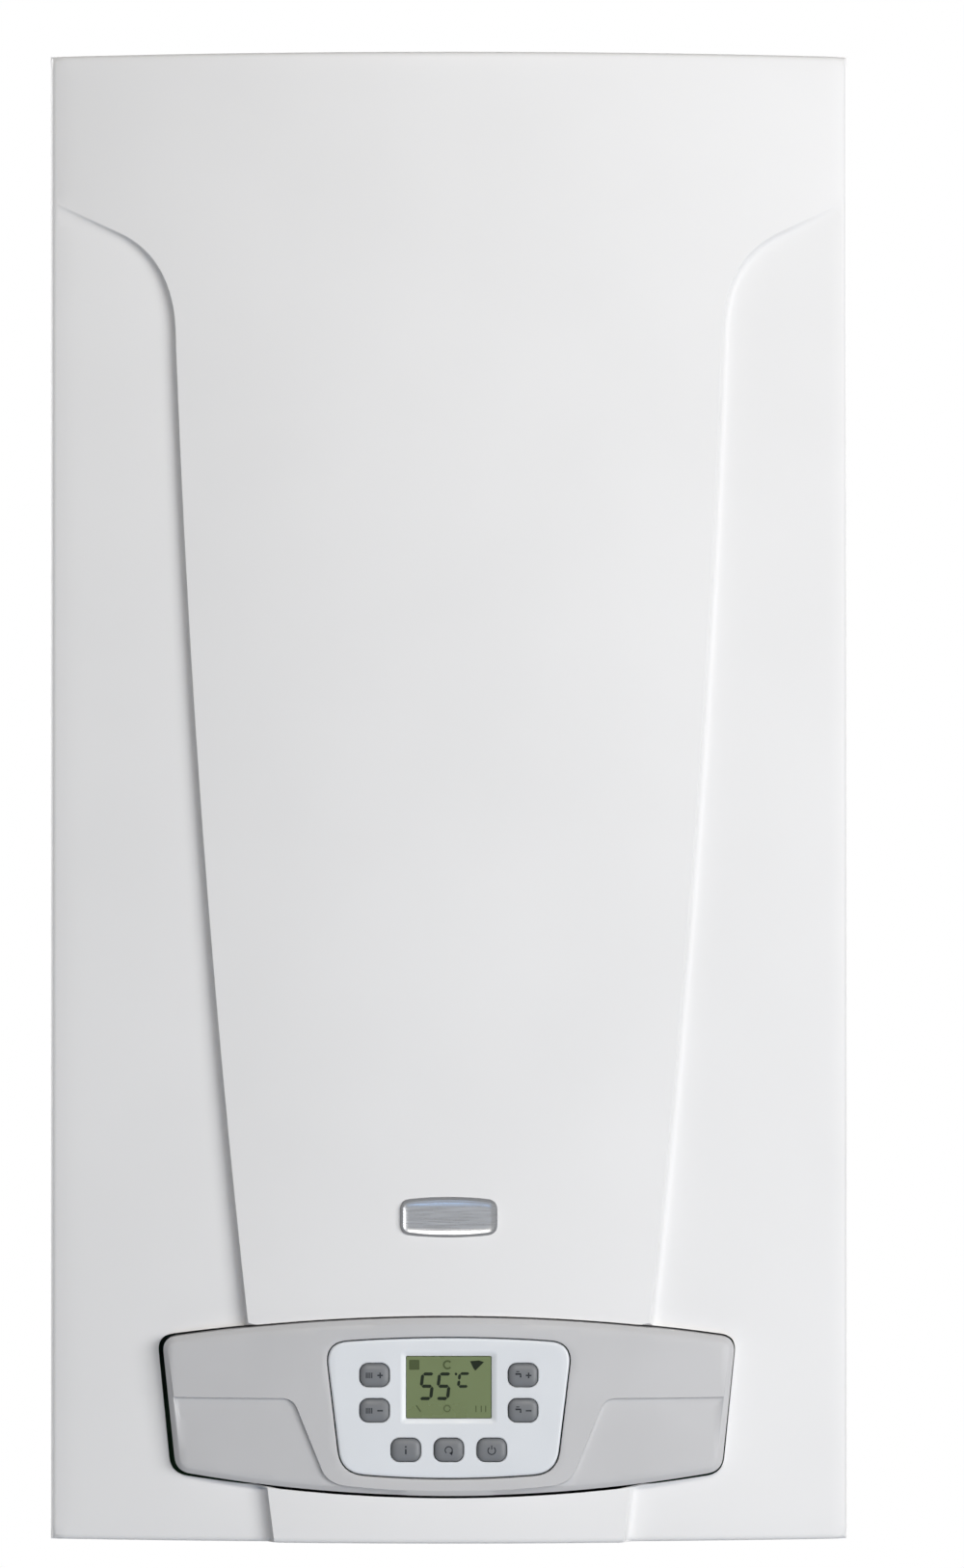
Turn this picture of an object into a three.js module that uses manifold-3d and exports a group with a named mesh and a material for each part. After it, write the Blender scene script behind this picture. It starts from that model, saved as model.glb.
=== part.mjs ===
// Wall-hung combi boiler: pressed steel casing round a sealed combustion chamber, a brass and copper
// water side below it, and a control box that looks out through the front panel.
// Millimetres. X runs to the right seen from the front, Y runs to the wall, Z is up.
// Pieces are drawn with Z = 0 at the casing's bottom edge and Y = 0 at the wall. The finished group is
// lowered so that its origin is the wall bracket's back face.
import * as THREE from "three";
import { mergeVertices } from "three/addons/utils/BufferGeometryUtils.js";
import Module from "manifold-3d";

const wasm = await Module();
wasm.setup();

// ---------------------------------------------------------------- driving sizes
const FIT = 0.3; // gap between pieces that seat on each other
const RUNNING = 0.5; // radial gap round pieces that turn or slide
const ROUND_SIDES = 10; // sides of a small round piece
const WIDE_SIDES = 18; // sides of a large one
const CURVE_STEPS = 2;

// Casing
const CASE_WIDTH = 400;
const CASE_HEIGHT = 745;
const HALF = CASE_WIDTH / 2;
const EDGE_DEPTH = 270; // wall to the front panel's side edges
const CROWN = 24; // how far the panel's middle stands out from its side edges
const FLANK_CROWN = 17; // the same for the lower-lying flanks outside the creases
const SHEET = 1; // painted casing sheet
const EDGE_ROUND = 3; // rounding of the front panel's edges
const PANEL_RETURN = 32; // how far the front panel wraps round the sides
const TOP_FLANGE = 42; // depth of the front panel's top and bottom flanges
const SIDE_LAP = 11; // side panel's stepped edge inside the front panel's return
const SIDE_LIP = 8; // inward lips of the side panels
const PANEL_SCREW_R = 2.5;
const PANEL_SCREW_INSET = 50;
const PANEL_SCREW_X = HALF - PANEL_SCREW_INSET;

// Creases: straight shoulder, rounded corner, then a long curve drawing in to the bottom
const SHOULDER_DROP = 75; // below the casing's top
const SHOULDER_REACH = 40;
const SHOULDER_FALL = 19;
const WAIST_INSET = 21.2; // width and height of the rounded corner
const WAIST_DROP = 46;
const SHOULDER_EDGE_Z = CASE_HEIGHT - SHOULDER_DROP; // where the shoulder meets the side edge
const SHOULDER_END_X = HALF - SHOULDER_REACH;
const SHOULDER_END_Z = SHOULDER_EDGE_Z - SHOULDER_FALL;
const WAIST_X = SHOULDER_END_X - WAIST_INSET; // crease at the foot of its rounded corner
const WAIST_Z = SHOULDER_END_Z - WAIST_DROP;
const TAPER = 0.0364; // how the crease draws in below the waist, per mm
const TAPER_GAIN = 7.2e-5; // and how that draws in faster lower down
const CREASE_WIDTH = 4;

// Chassis
const FRAME_SHEET = 1.2; // galvanised sheet
const FRAME_OFF_WALL = 13; // the back plate stands this far off the wall
const FRAME_BOTTOM = 8;
const FRAME_TOP_GAP = 6;
const RIB_X = 95; // pressed ribs in the back plate
const RIB_R = 7;
const HANG_DROP = 39;
const HANG_Z = CASE_HEIGHT - HANG_DROP; // wall bracket's middle height
const BRACKET_WIDTH = 300;
const BRACKET_HEIGHT = 34;
const BRACKET_SHEET = 2;
const HOOK_X = 110;
const HOOK_WIDTH = 30;
const HOOK_LIP = 10;
const BRACKET_SLOT_X = 55;
const BRACKET_SLOT = 16; // length of the screw slots
const BRACKET_SLOT_R = 3.5;

// Pipe rail and hinge arms
const RAIL_Z = 44;
const RAIL_SHEET = 2;
const RAIL_FRONT = 92; // wall to the rail's front edge
const ARM_INSET = 10;
const ARM_X = HALF - ARM_INSET; // inner face of the hinge arms
const ARM_LENGTH = 120;
const HINGE_Y = -200;
const HINGE_Z = 22;
const HINGE_PIN_R = 3.6;

// Sealed chamber
const CHAMBER_BACK = 98;
const CHAMBER_SETBACK = 20;
const CHAMBER_SIDE_ROOM = 12;
const CHAMBER_FRONT = EDGE_DEPTH - CHAMBER_SETBACK;
const CHAMBER_HALF = HALF - CHAMBER_SIDE_ROOM;
const CHAMBER_BOTTOM = 262;
const CHAMBER_TOP_GAP = 7;
const CHAMBER_FLANGE = 7;
const COVER_DEPTH = 4;
const COVER_PRESSING = 2.5;
const SIGHT_X = 0;
const SIGHT_LIFT = 110;
const SIGHT_Z = CHAMBER_BOTTOM + SIGHT_LIFT;
const SIGHT_R = 17;

// Flue
const FLUE_Y = -163;
const FLUE_R = 30; // half width of the scroll's mouth
const AIR_R = 50; // air inlet round it, inside
const FLUE_WALL = 1.5;
const COLLAR_HEIGHT = 15;
const COLLAR_FLANGE = 16;
const SCROLL_X = -50; // fan's axle
const SCROLL_DROP = 100;
const SCROLL_Z = CASE_HEIGHT - SCROLL_DROP;
const SCROLL_R = 66; // smallest radius of the scroll
const SCROLL_DEPTH = 62;
const FAN_INLET_R = 36;
const IMPELLER_R = 54;
const IMPELLER_DEPTH = 44;
const FAN_SHAFT_R = 4;
const BLADES = 14;
const FAN_BEARING = 12; // depth of the motor's bore
const FAN_MOTOR_R = 36;
const FAN_MOTOR_DEPTH = 42;
const SWITCH_INSET = 48; // air pressure switch beside the fan
const SWITCH_DROP = 95;
const SWITCH_X = CHAMBER_HALF - SWITCH_INSET;
const SWITCH_Z = CASE_HEIGHT - SWITCH_DROP;
const SWITCH_R = 33;

// Heat source
const HEARTH_SIDE_ROOM = 48; // combustion box, exchanger and hood share one footprint
const HEARTH_SETBACK = 18;
const HEARTH_LIFT = 38;
const HEARTH_HALF = CHAMBER_HALF - HEARTH_SIDE_ROOM;
const HEARTH_FRONT = CHAMBER_FRONT - HEARTH_SETBACK;
const HEARTH_BOTTOM = CHAMBER_BOTTOM + HEARTH_LIFT;
const HEARTH_WALL = 12; // steel and fibre lining
const EXCHANGER_HEIGHT = 76;
const HOOD_RISE = 35; // from the exchanger's top to the foot of the fan's scroll
const HEARTH_HEIGHT = SCROLL_Z - SCROLL_R - HOOD_RISE - EXCHANGER_HEIGHT - HEARTH_BOTTOM;
const FINS = 24;
const FIN_THICKNESS = 1.6;
const FIN_WEB = 12; // band along the middle of the fins, where the tubes run
const TUBE_R = 9;
const TUBE_PITCH = 34;
const TUBE_REACH = 25; // how far the return bends stand out
const TUBE_X = HEARTH_HALF + TUBE_REACH;
const HOOD_WALL = 1.5;
const HOOD_SLOPE_Z = 8;
const PLENUM_DEPTH = 36;
const BURNER_BARS = 9;
const BURNER_HEIGHT = 34;
const BURNER_LIFT = 6;
const PROBE_LIFT = 12;
const BURNER_Z = HEARTH_BOTTOM + BURNER_LIFT;
const PROBE_Z = BURNER_Z + BURNER_HEIGHT + PROBE_LIFT;
const GAS_RAIL_R = 7;
const ELECTRODE_R = 4;
const ELECTRODE_X = 62;

// Expansion vessel
const VESSEL_SIDE_ROOM = 42;
const VESSEL_R = HALF - VESSEL_SIDE_ROOM;
const VESSEL_DEPTH = 74;
const VESSEL_WALL = 1.6;
const VESSEL_DROP = 220;
const VESSEL_Z = CASE_HEIGHT - VESSEL_DROP;

// Gas side
const VALVE_HALF = 36;
const IGNITION_BOX = 12; // width of the box on its right side
const VALVE_HEIGHT = 76;
const VALVE_BOTTOM = 146;
const VALVE_TOP = VALVE_BOTTOM + VALVE_HEIGHT;
const VALVE_BACK = 42;
const VALVE_FRONT = 112;
const GAS_PIPE_R = 8;
const GAS_OUT_LIFT = 42; // the valve's outlet
const GAS_OUT_Z = VALVE_BOTTOM + GAS_OUT_LIFT;

// Water side
const PORT_SIDE_ROOM = 70;
const PORT_PITCH = (HALF - PORT_SIDE_ROOM) / 2; // spacing of the five connections
const PORT_Y = -70;
const PORT_END_Z = 12; // sealing faces of the connections
const PORT_BORE_DEPTH = 20;
const WATER_R = 13.2; // 3/4 inch thread
const TAP_R = 10.5; // 1/2 inch thread
const PORT_WALL = 2.6;
const PORT_FLANGE = 3; // flange that seats on the rail
const BLOCK_BOTTOM = RAIL_Z + RAIL_SHEET + PORT_FLANGE + 2 * FIT;
const BLOCK_TOP = 110;
const BLOCK_BACK = 45;
const BLOCK_FRONT = 110;
const BLOCK_MARGIN = 20;
const BLOCK_INNER = PORT_PITCH - BLOCK_MARGIN;
const BLOCK_OUTER = 2 * PORT_PITCH + BLOCK_MARGIN;
const PIPE_R = 9;
const THIN_PIPE_R = 5;
const PLATES = 7;
const PLATE_PITCH = 5.2;
const PLATE_REACH = 50;
const PLATE_LIFT = 30;
const PLATE_HALF = BLOCK_INNER + PLATE_REACH;
const PLATE_HEIGHT = 74;
const PLATE_MID_Z = BLOCK_BOTTOM + PLATE_LIFT; // the exchanger's ports on the blocks
const PIPE_ROOM = 7; // beside the vessel's pipe, which runs between the gas valve and the pump
const PUMP_ROOM = 5;
const VESSEL_PIPE_X = VALVE_HALF + IGNITION_BOX + PIPE_ROOM + THIN_PIPE_R;
const PUMP_Z = 158;
const PUMP_R = 42;
const PUMP_X = VESSEL_PIPE_X + THIN_PIPE_R + PUMP_ROOM + PUMP_R;
const PUMP_DEPTH = 44;
const ROTOR_R = 26;
const ROTOR_SHAFT_R = 4.5;
const PUMP_MOTOR_LENGTH = 72;
const SEPARATOR_INSET = 6;
const SEPARATOR_X = PUMP_X - SEPARATOR_INSET;
const SEPARATOR_TOP = 222;
const RISER_REACH = 26;
const RISER_X = HEARTH_HALF + RISER_REACH;
const RISER_Y = -142;
const FLOW_FOOT_INSET = 8;
const FLOW_FOOT_X = BLOCK_OUTER - FLOW_FOOT_INSET;
const FLOW_FOOT_Z = BLOCK_TOP + FLOW_FOOT_INSET;
const DISCHARGE_OFFSET = 30; // from the pump's axle to its discharge
const RETURN_FOOT_X = PUMP_X + DISCHARGE_OFFSET;
const RETURN_FOOT_Z = PUMP_Z + PUMP_R;
const DIVERTER_INSET = 50;
const DIVERTER_X = DIVERTER_INSET - BLOCK_OUTER;
const DIVERTER_WIDTH = 48;
const DIVERTER_HEIGHT = 64;
const PLUNGER_R = 4;
const PLUNGER_TRAVEL = 6;
const GAUGE_X = -1.5 * PORT_PITCH;
const GAUGE_Y = -100;
const GAUGE_R = 19;
const GAUGE_BOTTOM = 12;
const FILL_X = 1.5 * PORT_PITCH;
const FILL_Y = -102;
const FILL_DROP = 6;
const FILL_KNOB_Z = RAIL_Z - FILL_DROP;
const FILL_KNOB_R = 12;
const RELIEF_R = 11;
const RELIEF_X = BLOCK_OUTER + 2 * RELIEF_R;
const RELIEF_Y = -80;
const RELIEF_Z = 80;
const RELIEF_LENGTH = 33;
const RELIEF_KNOB_R = 15;

// Control box
const FASCIA_MID_Z = 68.8;
const FASCIA_HALF_TOP = 143.4;
const FASCIA_HALF_BOTTOM = 136.5;
const FASCIA_SIDE_HEIGHT = 66.4;
const FASCIA_BOW = 11.2; // rise of its arched top and bottom edges
const FASCIA_CORNER = 7;
const FASCIA_PROUD = 5;
const FASCIA_BEVEL = 3.4;
const FASCIA_WALL = 2.5;
const FASCIA_GAP = 1.5; // shadow gap round it
const CHEEK_Z = 73; // top of the two set-back cheeks
const CHEEK_X = 82;
const CHEEK_FOOT_X = 60;
const CHEEK_STEP = 1;
const BEZEL_HALF_TOP = 61.4;
const BEZEL_HALF_BOTTOM = 53.6;
const BEZEL_SIDE_HEIGHT = 64.5;
const BEZEL_MID_Z = 68.2;
const BEZEL_BOW = 2.8;
const BEZEL_CORNER = 11;
const BEZEL_GAP = 0.6;
const BEZEL_DEPTH = 3;
const WINDOW_HALF = 21.4;
const WINDOW_HEIGHT = 31.3;
const WINDOW_Z = 78.5;
const WINDOW_FRAME = 2.6;
const LENS_DEPTH = 2;
const KEY_WIDTH = 14.4;
const KEY_HEIGHT = 11.4;
const KEY_CORNER = 4;
const KEY_PROUD = 1.6;
const KEY_TRAVEL = 1.2;
const KEY_GAP = 0.4;
const KEY_SKIRT = 1.4;
const SIDE_KEY_X = 37;
const SIDE_KEY_Z = [84.6, 67];
const FOOT_KEY_PITCH = 21.4;
const FOOT_KEY_Z = 47.3;
const BOX_SIDE_ROOM = 25;
const BOX_SETBACK = 8;
const BOX_POST = 13; // length of the posts that carry the main board
const GLAND_INSET = 45;
const BOX_HALF = ARM_X - BOX_SIDE_ROOM;
const BOX_BOTTOM = 14;
const BOX_TOP = 128;
const BOX_BACK = 190;
const BOX_FRONT = EDGE_DEPTH - BOX_SETBACK;
const BOX_WALL = 2.5;
const BOARD = 1.6;
const BOX_BOARD_FACE = BOX_BACK + BOX_WALL + BOX_POST + FIT + BOARD;
const GLAND_X = GLAND_INSET - BOX_HALF;
const BADGE_HALF = 24.3;
const BADGE_HEIGHT = 17;
const BADGE_BOW = 1.6;
const BADGE_CORNER = 5;
const BADGE_PROUD = 3;
const BADGE_Z = 163.2;

// ---------------------------------------------------------------- materials
const finish = (color, roughness, metalness = 0) =>
  new THREE.MeshStandardMaterial({ color, roughness, metalness });
const enamel = finish(0xe6e7ea, 0.32);
const galvanised = finish(0xb4b8bb, 0.5, 0.8);
const aluminised = finish(0xa9aaa8, 0.55, 0.7);
const copper = finish(0xb8704a, 0.35, 1);
const brass = finish(0xb6985a, 0.4, 0.9);
const castAluminium = finish(0xb9bbbd, 0.6, 0.6);
const stainless = finish(0xc3c5c6, 0.3, 1);
const vesselPaint = finish(0x9c2a22, 0.5);
const blackPlastic = finish(0x26282a, 0.5);
const greyPlastic = finish(0xc2c3c5, 0.45);
const whitePlastic = finish(0xe1e4e8, 0.4);
const keyRubber = finish(0x75797d, 0.55);
const clearPlastic = finish(0x8a9966, 0.12);
const glass = finish(0xd6dee0, 0.05);
const boardGreen = finish(0x2f6b42, 0.6);
const ceramic = finish(0xe9e4d6, 0.5);
const fibre = finish(0xd9d4c4, 0.9);
const redPlastic = finish(0xb0271f, 0.4);
const bluePlastic = finish(0x24518f, 0.4);
const satinMetal = finish(0xa9acb0, 0.3, 0.9);

// ---------------------------------------------------------------- shape helpers
const UP = new THREE.Vector3(0, 1, 0);
const AXES = {
  x: new THREE.Vector3(1, 0, 0),
  y: new THREE.Vector3(0, 1, 0),
  z: new THREE.Vector3(0, 0, 1),
  front: new THREE.Vector3(0, -1, 0),
  down: new THREE.Vector3(0, 0, -1),
};

// A closed three.js geometry as a solid: shared vertices merged, slivers dropped, faces pointing out.
function solidOf(geometry) {
  const bare = geometry.clone();
  bare.deleteAttribute("normal");
  bare.deleteAttribute("uv");
  const merged = mergeVertices(bare, 1e-4);
  const index = merged.index.array;
  const place = merged.getAttribute("position").array;
  const corner = (i) => new THREE.Vector3().fromArray(place, i * 3);
  const faces = [];
  let volume = 0;
  for (let i = 0; i < index.length; i += 3) {
    const [a, b, c] = [index[i], index[i + 1], index[i + 2]];
    if (a === b || b === c || c === a) continue;
    faces.push([a, b, c]);
    volume += corner(a).dot(corner(b).cross(corner(c)));
  }
  const triVerts = new Uint32Array((volume < 0 ? faces.map((f) => f.reverse()) : faces).flat());
  return new wasm.Manifold(new wasm.Mesh({ numProp: 3, vertProperties: place, triVerts }));
}

// A solid as a named mesh of the model.
function piece(name, solid, material) {
  const mesh = solid.getMesh();
  const geometry = new THREE.BufferGeometry();
  const place = new Float32Array(mesh.numVert * 3);
  for (let i = 0; i < mesh.numVert; i++) {
    place.set(mesh.vertProperties.subarray(i * mesh.numProp, i * mesh.numProp + 3), i * 3);
  }
  geometry.setAttribute("position", new THREE.BufferAttribute(place, 3));
  geometry.setIndex(new THREE.BufferAttribute(new Uint32Array(mesh.triVerts), 1));
  geometry.computeVertexNormals();
  const made = new THREE.Mesh(geometry, material);
  made.name = name;
  return made;
}

// Joins solids into one.
const join = (...solids) => solids.reduce((a, b) => a.add(b));

// A box between limits on each axis.
function box([x0, x1], [y0, y1], [z0, z1]) {
  const shape = new THREE.BoxGeometry(Math.abs(x1 - x0), Math.abs(y1 - y0), Math.abs(z1 - z0));
  return solidOf(shape.translate((x0 + x1) / 2, (y0 + y1) / 2, (z0 + z1) / 2));
}

// A profile of [radius, height] pairs turned about an axis that starts at a point.
function turned(profile, start, axis, sides = ROUND_SIDES) {
  const points = profile.map(([r, h]) => new THREE.Vector2(r, h));
  if (profile[0][0] > 0) points.push(points[0].clone());
  const shape = new THREE.LatheGeometry(points, sides);
  shape.applyQuaternion(new THREE.Quaternion().setFromUnitVectors(UP, AXES[axis]));
  return solidOf(shape.translate(...start));
}

// A plain round bar from a point along an axis.
const bar = (radius, length, start, axis, sides = ROUND_SIDES) =>
  turned([[0, 0], [radius, 0], [radius, length], [0, length]], start, axis, sides);

// A ring or sleeve between two radii.
const sleeve = (inner, outer, length, start, axis, sides = ROUND_SIDES) =>
  turned([[inner, 0], [outer, 0], [outer, length], [inner, length]], start, axis, sides);

// An outline drawn as seen from the front (x, z), between two depths from the wall.
function fromFront(shape, back, front, bevel = 0) {
  const solid = new THREE.ExtrudeGeometry(shape, {
    depth: front - back - 2 * bevel,
    curveSegments: CURVE_STEPS,
    bevelEnabled: bevel > 0,
    bevelSize: bevel,
    bevelOffset: -bevel,
    bevelThickness: bevel,
    bevelSegments: 1,
  });
  return solidOf(solid.rotateX(Math.PI / 2).translate(0, -(back + bevel), 0));
}

// An outline drawn in plan (x, y), between two heights.
const fromAbove = (shape, bottom, top) =>
  solidOf(
    new THREE.ExtrudeGeometry(shape, { depth: top - bottom, bevelEnabled: false }).translate(0, 0, bottom),
  );

// An outline drawn as seen from the right (y, z), between two x.
function fromSide(shape, left, right) {
  const solid = new THREE.ExtrudeGeometry(shape, { depth: right - left, bevelEnabled: false });
  const turn = new THREE.Matrix4().makeBasis(AXES.y, AXES.z, AXES.x);
  return solidOf(solid.applyMatrix4(turn).translate(left, 0, 0));
}

const polygon = (points) => new THREE.Shape(points.map(([a, b]) => new THREE.Vector2(a, b)));

// A rectangle with rounded corners round a middle point.
function softBox(midX, midZ, width, height, radius) {
  const shape = new THREE.Shape();
  const [l, r, b, t] = [midX - width / 2, midX + width / 2, midZ - height / 2, midZ + height / 2];
  shape.moveTo(l + radius, b);
  shape.lineTo(r - radius, b);
  shape.absarc(r - radius, b + radius, radius, -Math.PI / 2, 0);
  shape.lineTo(r, t - radius);
  shape.absarc(r - radius, t - radius, radius, 0, Math.PI / 2);
  shape.lineTo(l + radius, t);
  shape.absarc(l + radius, t - radius, radius, Math.PI / 2, Math.PI);
  shape.lineTo(l, b + radius);
  shape.absarc(l + radius, b + radius, radius, Math.PI, 1.5 * Math.PI);
  return shape;
}

// A soft corner of an outline, from one point to the next round a third.
function softCorner(shape, from, round, to, steps = 3) {
  const curve = new THREE.QuadraticBezierCurve(
    new THREE.Vector2(...from),
    new THREE.Vector2(...round),
    new THREE.Vector2(...to),
  );
  curve.getPoints(steps).forEach((p) => shape.lineTo(p.x, p.y));
}

// The casing's own form: upright sides that lean in to the bottom, arched top and bottom, soft corners.
// grow widens it all round.
function barrel({ halfTop, halfBottom, midZ, sideHeight, bow, corner, steps = 8 }, grow = 0) {
  const [ht, hb] = [halfTop + grow, halfBottom + grow];
  const [t, b] = [midZ + sideHeight / 2 + grow, midZ - sideHeight / 2 - grow];
  const r = corner + Math.max(grow, -corner / 2);
  const arch = (x, half) => bow * (1 - (x / half) ** 2);
  const [topX, footX] = [ht - r, hb - r];
  const lean = ((ht - hb) / (t - b)) * r;
  const shape = new THREE.Shape();
  shape.moveTo(-footX, b - arch(footX, hb));
  for (let i = 1; i < steps; i++) {
    const x = footX * ((2 * i) / steps - 1);
    shape.lineTo(x, b - arch(x, hb));
  }
  softCorner(shape, [footX, b - arch(footX, hb)], [hb, b], [hb + lean, b + r]);
  softCorner(shape, [ht - lean, t - r], [ht, t], [topX, t + arch(topX, ht)]);
  for (let i = 1; i < steps; i++) {
    const x = topX * (1 - (2 * i) / steps);
    shape.lineTo(x, t + arch(x, ht));
  }
  softCorner(shape, [-topX, t + arch(topX, ht)], [-ht, t], [-ht + lean, t - r]);
  softCorner(shape, [-hb - lean, b + r], [-hb, b], [-footX, b - arch(footX, hb)]);
  return shape;
}

// A pipe's centre line: straight runs between corner points, each corner bent to one radius.
// Its samples fall only where the line starts or stops bending and at a few places in each bend.
class PipeRun extends THREE.Curve {
  constructor(corners, bendRadius) {
    super();
    const points = corners.map((p) => new THREE.Vector3(...p));
    const bendSteps = 4;
    this.places = [points[0]];
    this.headings = [points[1].clone().sub(points[0]).normalize()];
    for (let i = 1; i < points.length - 1; i++) {
      const before = points[i].clone().sub(points[i - 1]).normalize();
      const after = points[i + 1].clone().sub(points[i]).normalize();
      const turn = before.angleTo(after);
      const setBack = bendRadius * Math.tan(turn / 2);
      const start = points[i].clone().addScaledVector(before, -setBack);
      const inward = after.clone().addScaledVector(before, -Math.cos(turn)).normalize();
      const centre = start.clone().addScaledVector(inward, bendRadius);
      for (let k = 0; k <= bendSteps; k++) {
        const angle = (turn * k) / bendSteps;
        this.places.push(
          centre.clone()
            .addScaledVector(inward, -bendRadius * Math.cos(angle))
            .addScaledVector(before, bendRadius * Math.sin(angle)),
        );
        this.headings.push(
          before.clone().multiplyScalar(Math.cos(angle)).addScaledVector(inward, Math.sin(angle)),
        );
      }
    }
    this.places.push(points.at(-1));
    this.headings.push(points.at(-1).clone().sub(points.at(-2)).normalize());
  }
  get steps() {
    return this.places.length - 1;
  }
  getPointAt(share) {
    return this.places[Math.round(share * this.steps)].clone();
  }
  getTangentAt(share) {
    return this.headings[Math.round(share * this.steps)].clone();
  }
}

function pipe(corners, bendRadius, radius, sides = 10) {
  const run = new PipeRun(corners, bendRadius);
  const section = new THREE.Shape();
  for (let i = 0; i <= sides; i++) {
    const angle = (2 * Math.PI * i) / sides;
    const [x, y] = [radius * Math.cos(angle), radius * Math.sin(angle)];
    if (i === 0) section.moveTo(x, y);
    else section.lineTo(x, y);
  }
  return solidOf(new THREE.ExtrudeGeometry(section, { steps: run.steps, extrudePath: run }));
}

// Cuts a round hole from each point along an axis.
const drill = (solid, radius, length, starts, axis, sides = ROUND_SIDES) =>
  starts.reduce((left, start) => left.subtract(bar(radius, length, start, axis, sides)), solid);

const both = (make) => [make(-1), make(1)];

// ---------------------------------------------------------------- the front panel's form
// Crease to either side of the middle, by height.
const corner = new THREE.QuadraticBezierCurve(
  new THREE.Vector2(SHOULDER_END_X, SHOULDER_END_Z),
  new THREE.Vector2(
    WAIST_X,
    SHOULDER_END_Z -
      ((SHOULDER_END_X - WAIST_X) * (SHOULDER_EDGE_Z - SHOULDER_END_Z)) / (HALF - SHOULDER_END_X),
  ),
  new THREE.Vector2(WAIST_X, WAIST_Z),
);
const CREASE_ROWS = [
  ...[0, 0.15, 0.32, 0.5, 0.68, 0.85].map((share) => {
    const z = WAIST_Z * share;
    const drop = WAIST_Z - z;
    return [WAIST_X - TAPER * drop - TAPER_GAIN * drop ** 2, z];
  }),
  ...corner.getPoints(6).reverse().map((p) => [p.x, p.y]),
  [(SHOULDER_END_X + HALF) / 2, (SHOULDER_END_Z + SHOULDER_EDGE_Z) / 2],
];
const OUTERMOST = HALF - EDGE_ROUND - CREASE_WIDTH / 2; // the crease dies out against the side rounding
const OUTERMOST_Z =
  SHOULDER_END_Z +
  ((SHOULDER_EDGE_Z - SHOULDER_END_Z) * (OUTERMOST - SHOULDER_END_X)) / (HALF - SHOULDER_END_X);
const [FOOT_X] = CREASE_ROWS[0];
const ROWS = [
  [FOOT_X, 0],
  [FOOT_X, 0.3 * EDGE_ROUND],
  [FOOT_X, EDGE_ROUND],
  ...CREASE_ROWS.slice(1),
  [OUTERMOST, OUTERMOST_Z],
  [OUTERMOST, SHOULDER_EDGE_Z],
  [OUTERMOST, CASE_HEIGHT - EDGE_ROUND],
  [OUTERMOST, CASE_HEIGHT - 0.3 * EDGE_ROUND],
  [OUTERMOST, CASE_HEIGHT],
];

// Depth from the wall of the crowned field, and of the flanks that lie lower beside it.
const fieldDepth = (x) => EDGE_DEPTH + CROWN * (1 - (x / HALF) ** 2);
const flankDepth = (x) => EDGE_DEPTH + FLANK_CROWN * (1 - (x / HALF) ** 2);

// Places across one row of the panel, from its middle to its side edge: [x, depth].
function rowPlaces([creaseX, z]) {
  const creased = z < SHOULDER_EDGE_Z;
  const inner = creaseX - CREASE_WIDTH / 2;
  const outer = inner + CREASE_WIDTH;
  const round = HALF - EDGE_ROUND;
  const field = [0, 0.25, 0.5, 0.75, 1].map((share) => [inner * share, fieldDepth(inner * share)]);
  const flank = [outer, (outer + round) / 2, round, HALF - 0.3 * EDGE_ROUND, HALF];
  return [...field, ...flank.map((x) => [x, creased ? flankDepth(x) : fieldDepth(x)])];
}

// One point of the folded sheet, on its face or on its inside, with the edges rounded.
function foldedPoint(x, depth, z, thickness) {
  const radius = EDGE_ROUND - thickness;
  const shrink = radius / EDGE_ROUND;
  const intoX = Math.max(0, Math.abs(x) - HALF + EDGE_ROUND) * shrink;
  const intoFoot = Math.max(0, EDGE_ROUND - z) * shrink;
  const intoTop = Math.max(0, z - CASE_HEIGHT + EDGE_ROUND) * shrink;
  const fall = radius - Math.sqrt(Math.max(0, radius ** 2 - intoX ** 2 - intoFoot ** 2 - intoTop ** 2));
  const placeX = intoX > 0 ? Math.sign(x) * (HALF - EDGE_ROUND + intoX) : x;
  const placeTop = intoTop > 0 ? CASE_HEIGHT - EDGE_ROUND + intoTop : z;
  const placeZ = intoFoot > 0 ? EDGE_ROUND - intoFoot : placeTop;
  return [placeX, -(depth - thickness - fall), placeZ];
}

// The pressed sheet: a flat blank of the right number of cells, each corner moved to its place.
function pressedSheet() {
  const rows = ROWS.map((row) => ({ z: row[1], places: rowPlaces(row) }));
  const reach = rows[0].places.length - 1;
  const blank = new THREE.BoxGeometry(2, 2, 2, 2 * reach, 1, rows.length - 1);
  const place = blank.getAttribute("position");
  for (let i = 0; i < place.count; i++) {
    const column = Math.round(place.getX(i) * reach);
    const row = rows[Math.round(((place.getZ(i) + 1) / 2) * (rows.length - 1))];
    const [x, depth] = row.places[Math.abs(column)];
    const thickness = place.getY(i) > 0 ? SHEET : 0;
    place.setXYZ(i, ...foldedPoint(Math.sign(column) * x, depth, row.z, thickness));
  }
  return solidOf(blank);
}

// A level flange behind the sheet's rounded edge, its front line on the sheet's own places.
function flange(row, bottom, back) {
  const half = rowPlaces(row).map(([x, depth]) => [x, -(depth - EDGE_ROUND + 0.1)]);
  const line = [...half.slice(1).map(([x, y]) => [-x, y]).reverse(), ...half];
  return fromAbove(polygon([[-HALF, -back], ...line, [HALF, -back]]), bottom, bottom + SHEET);
}

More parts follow.
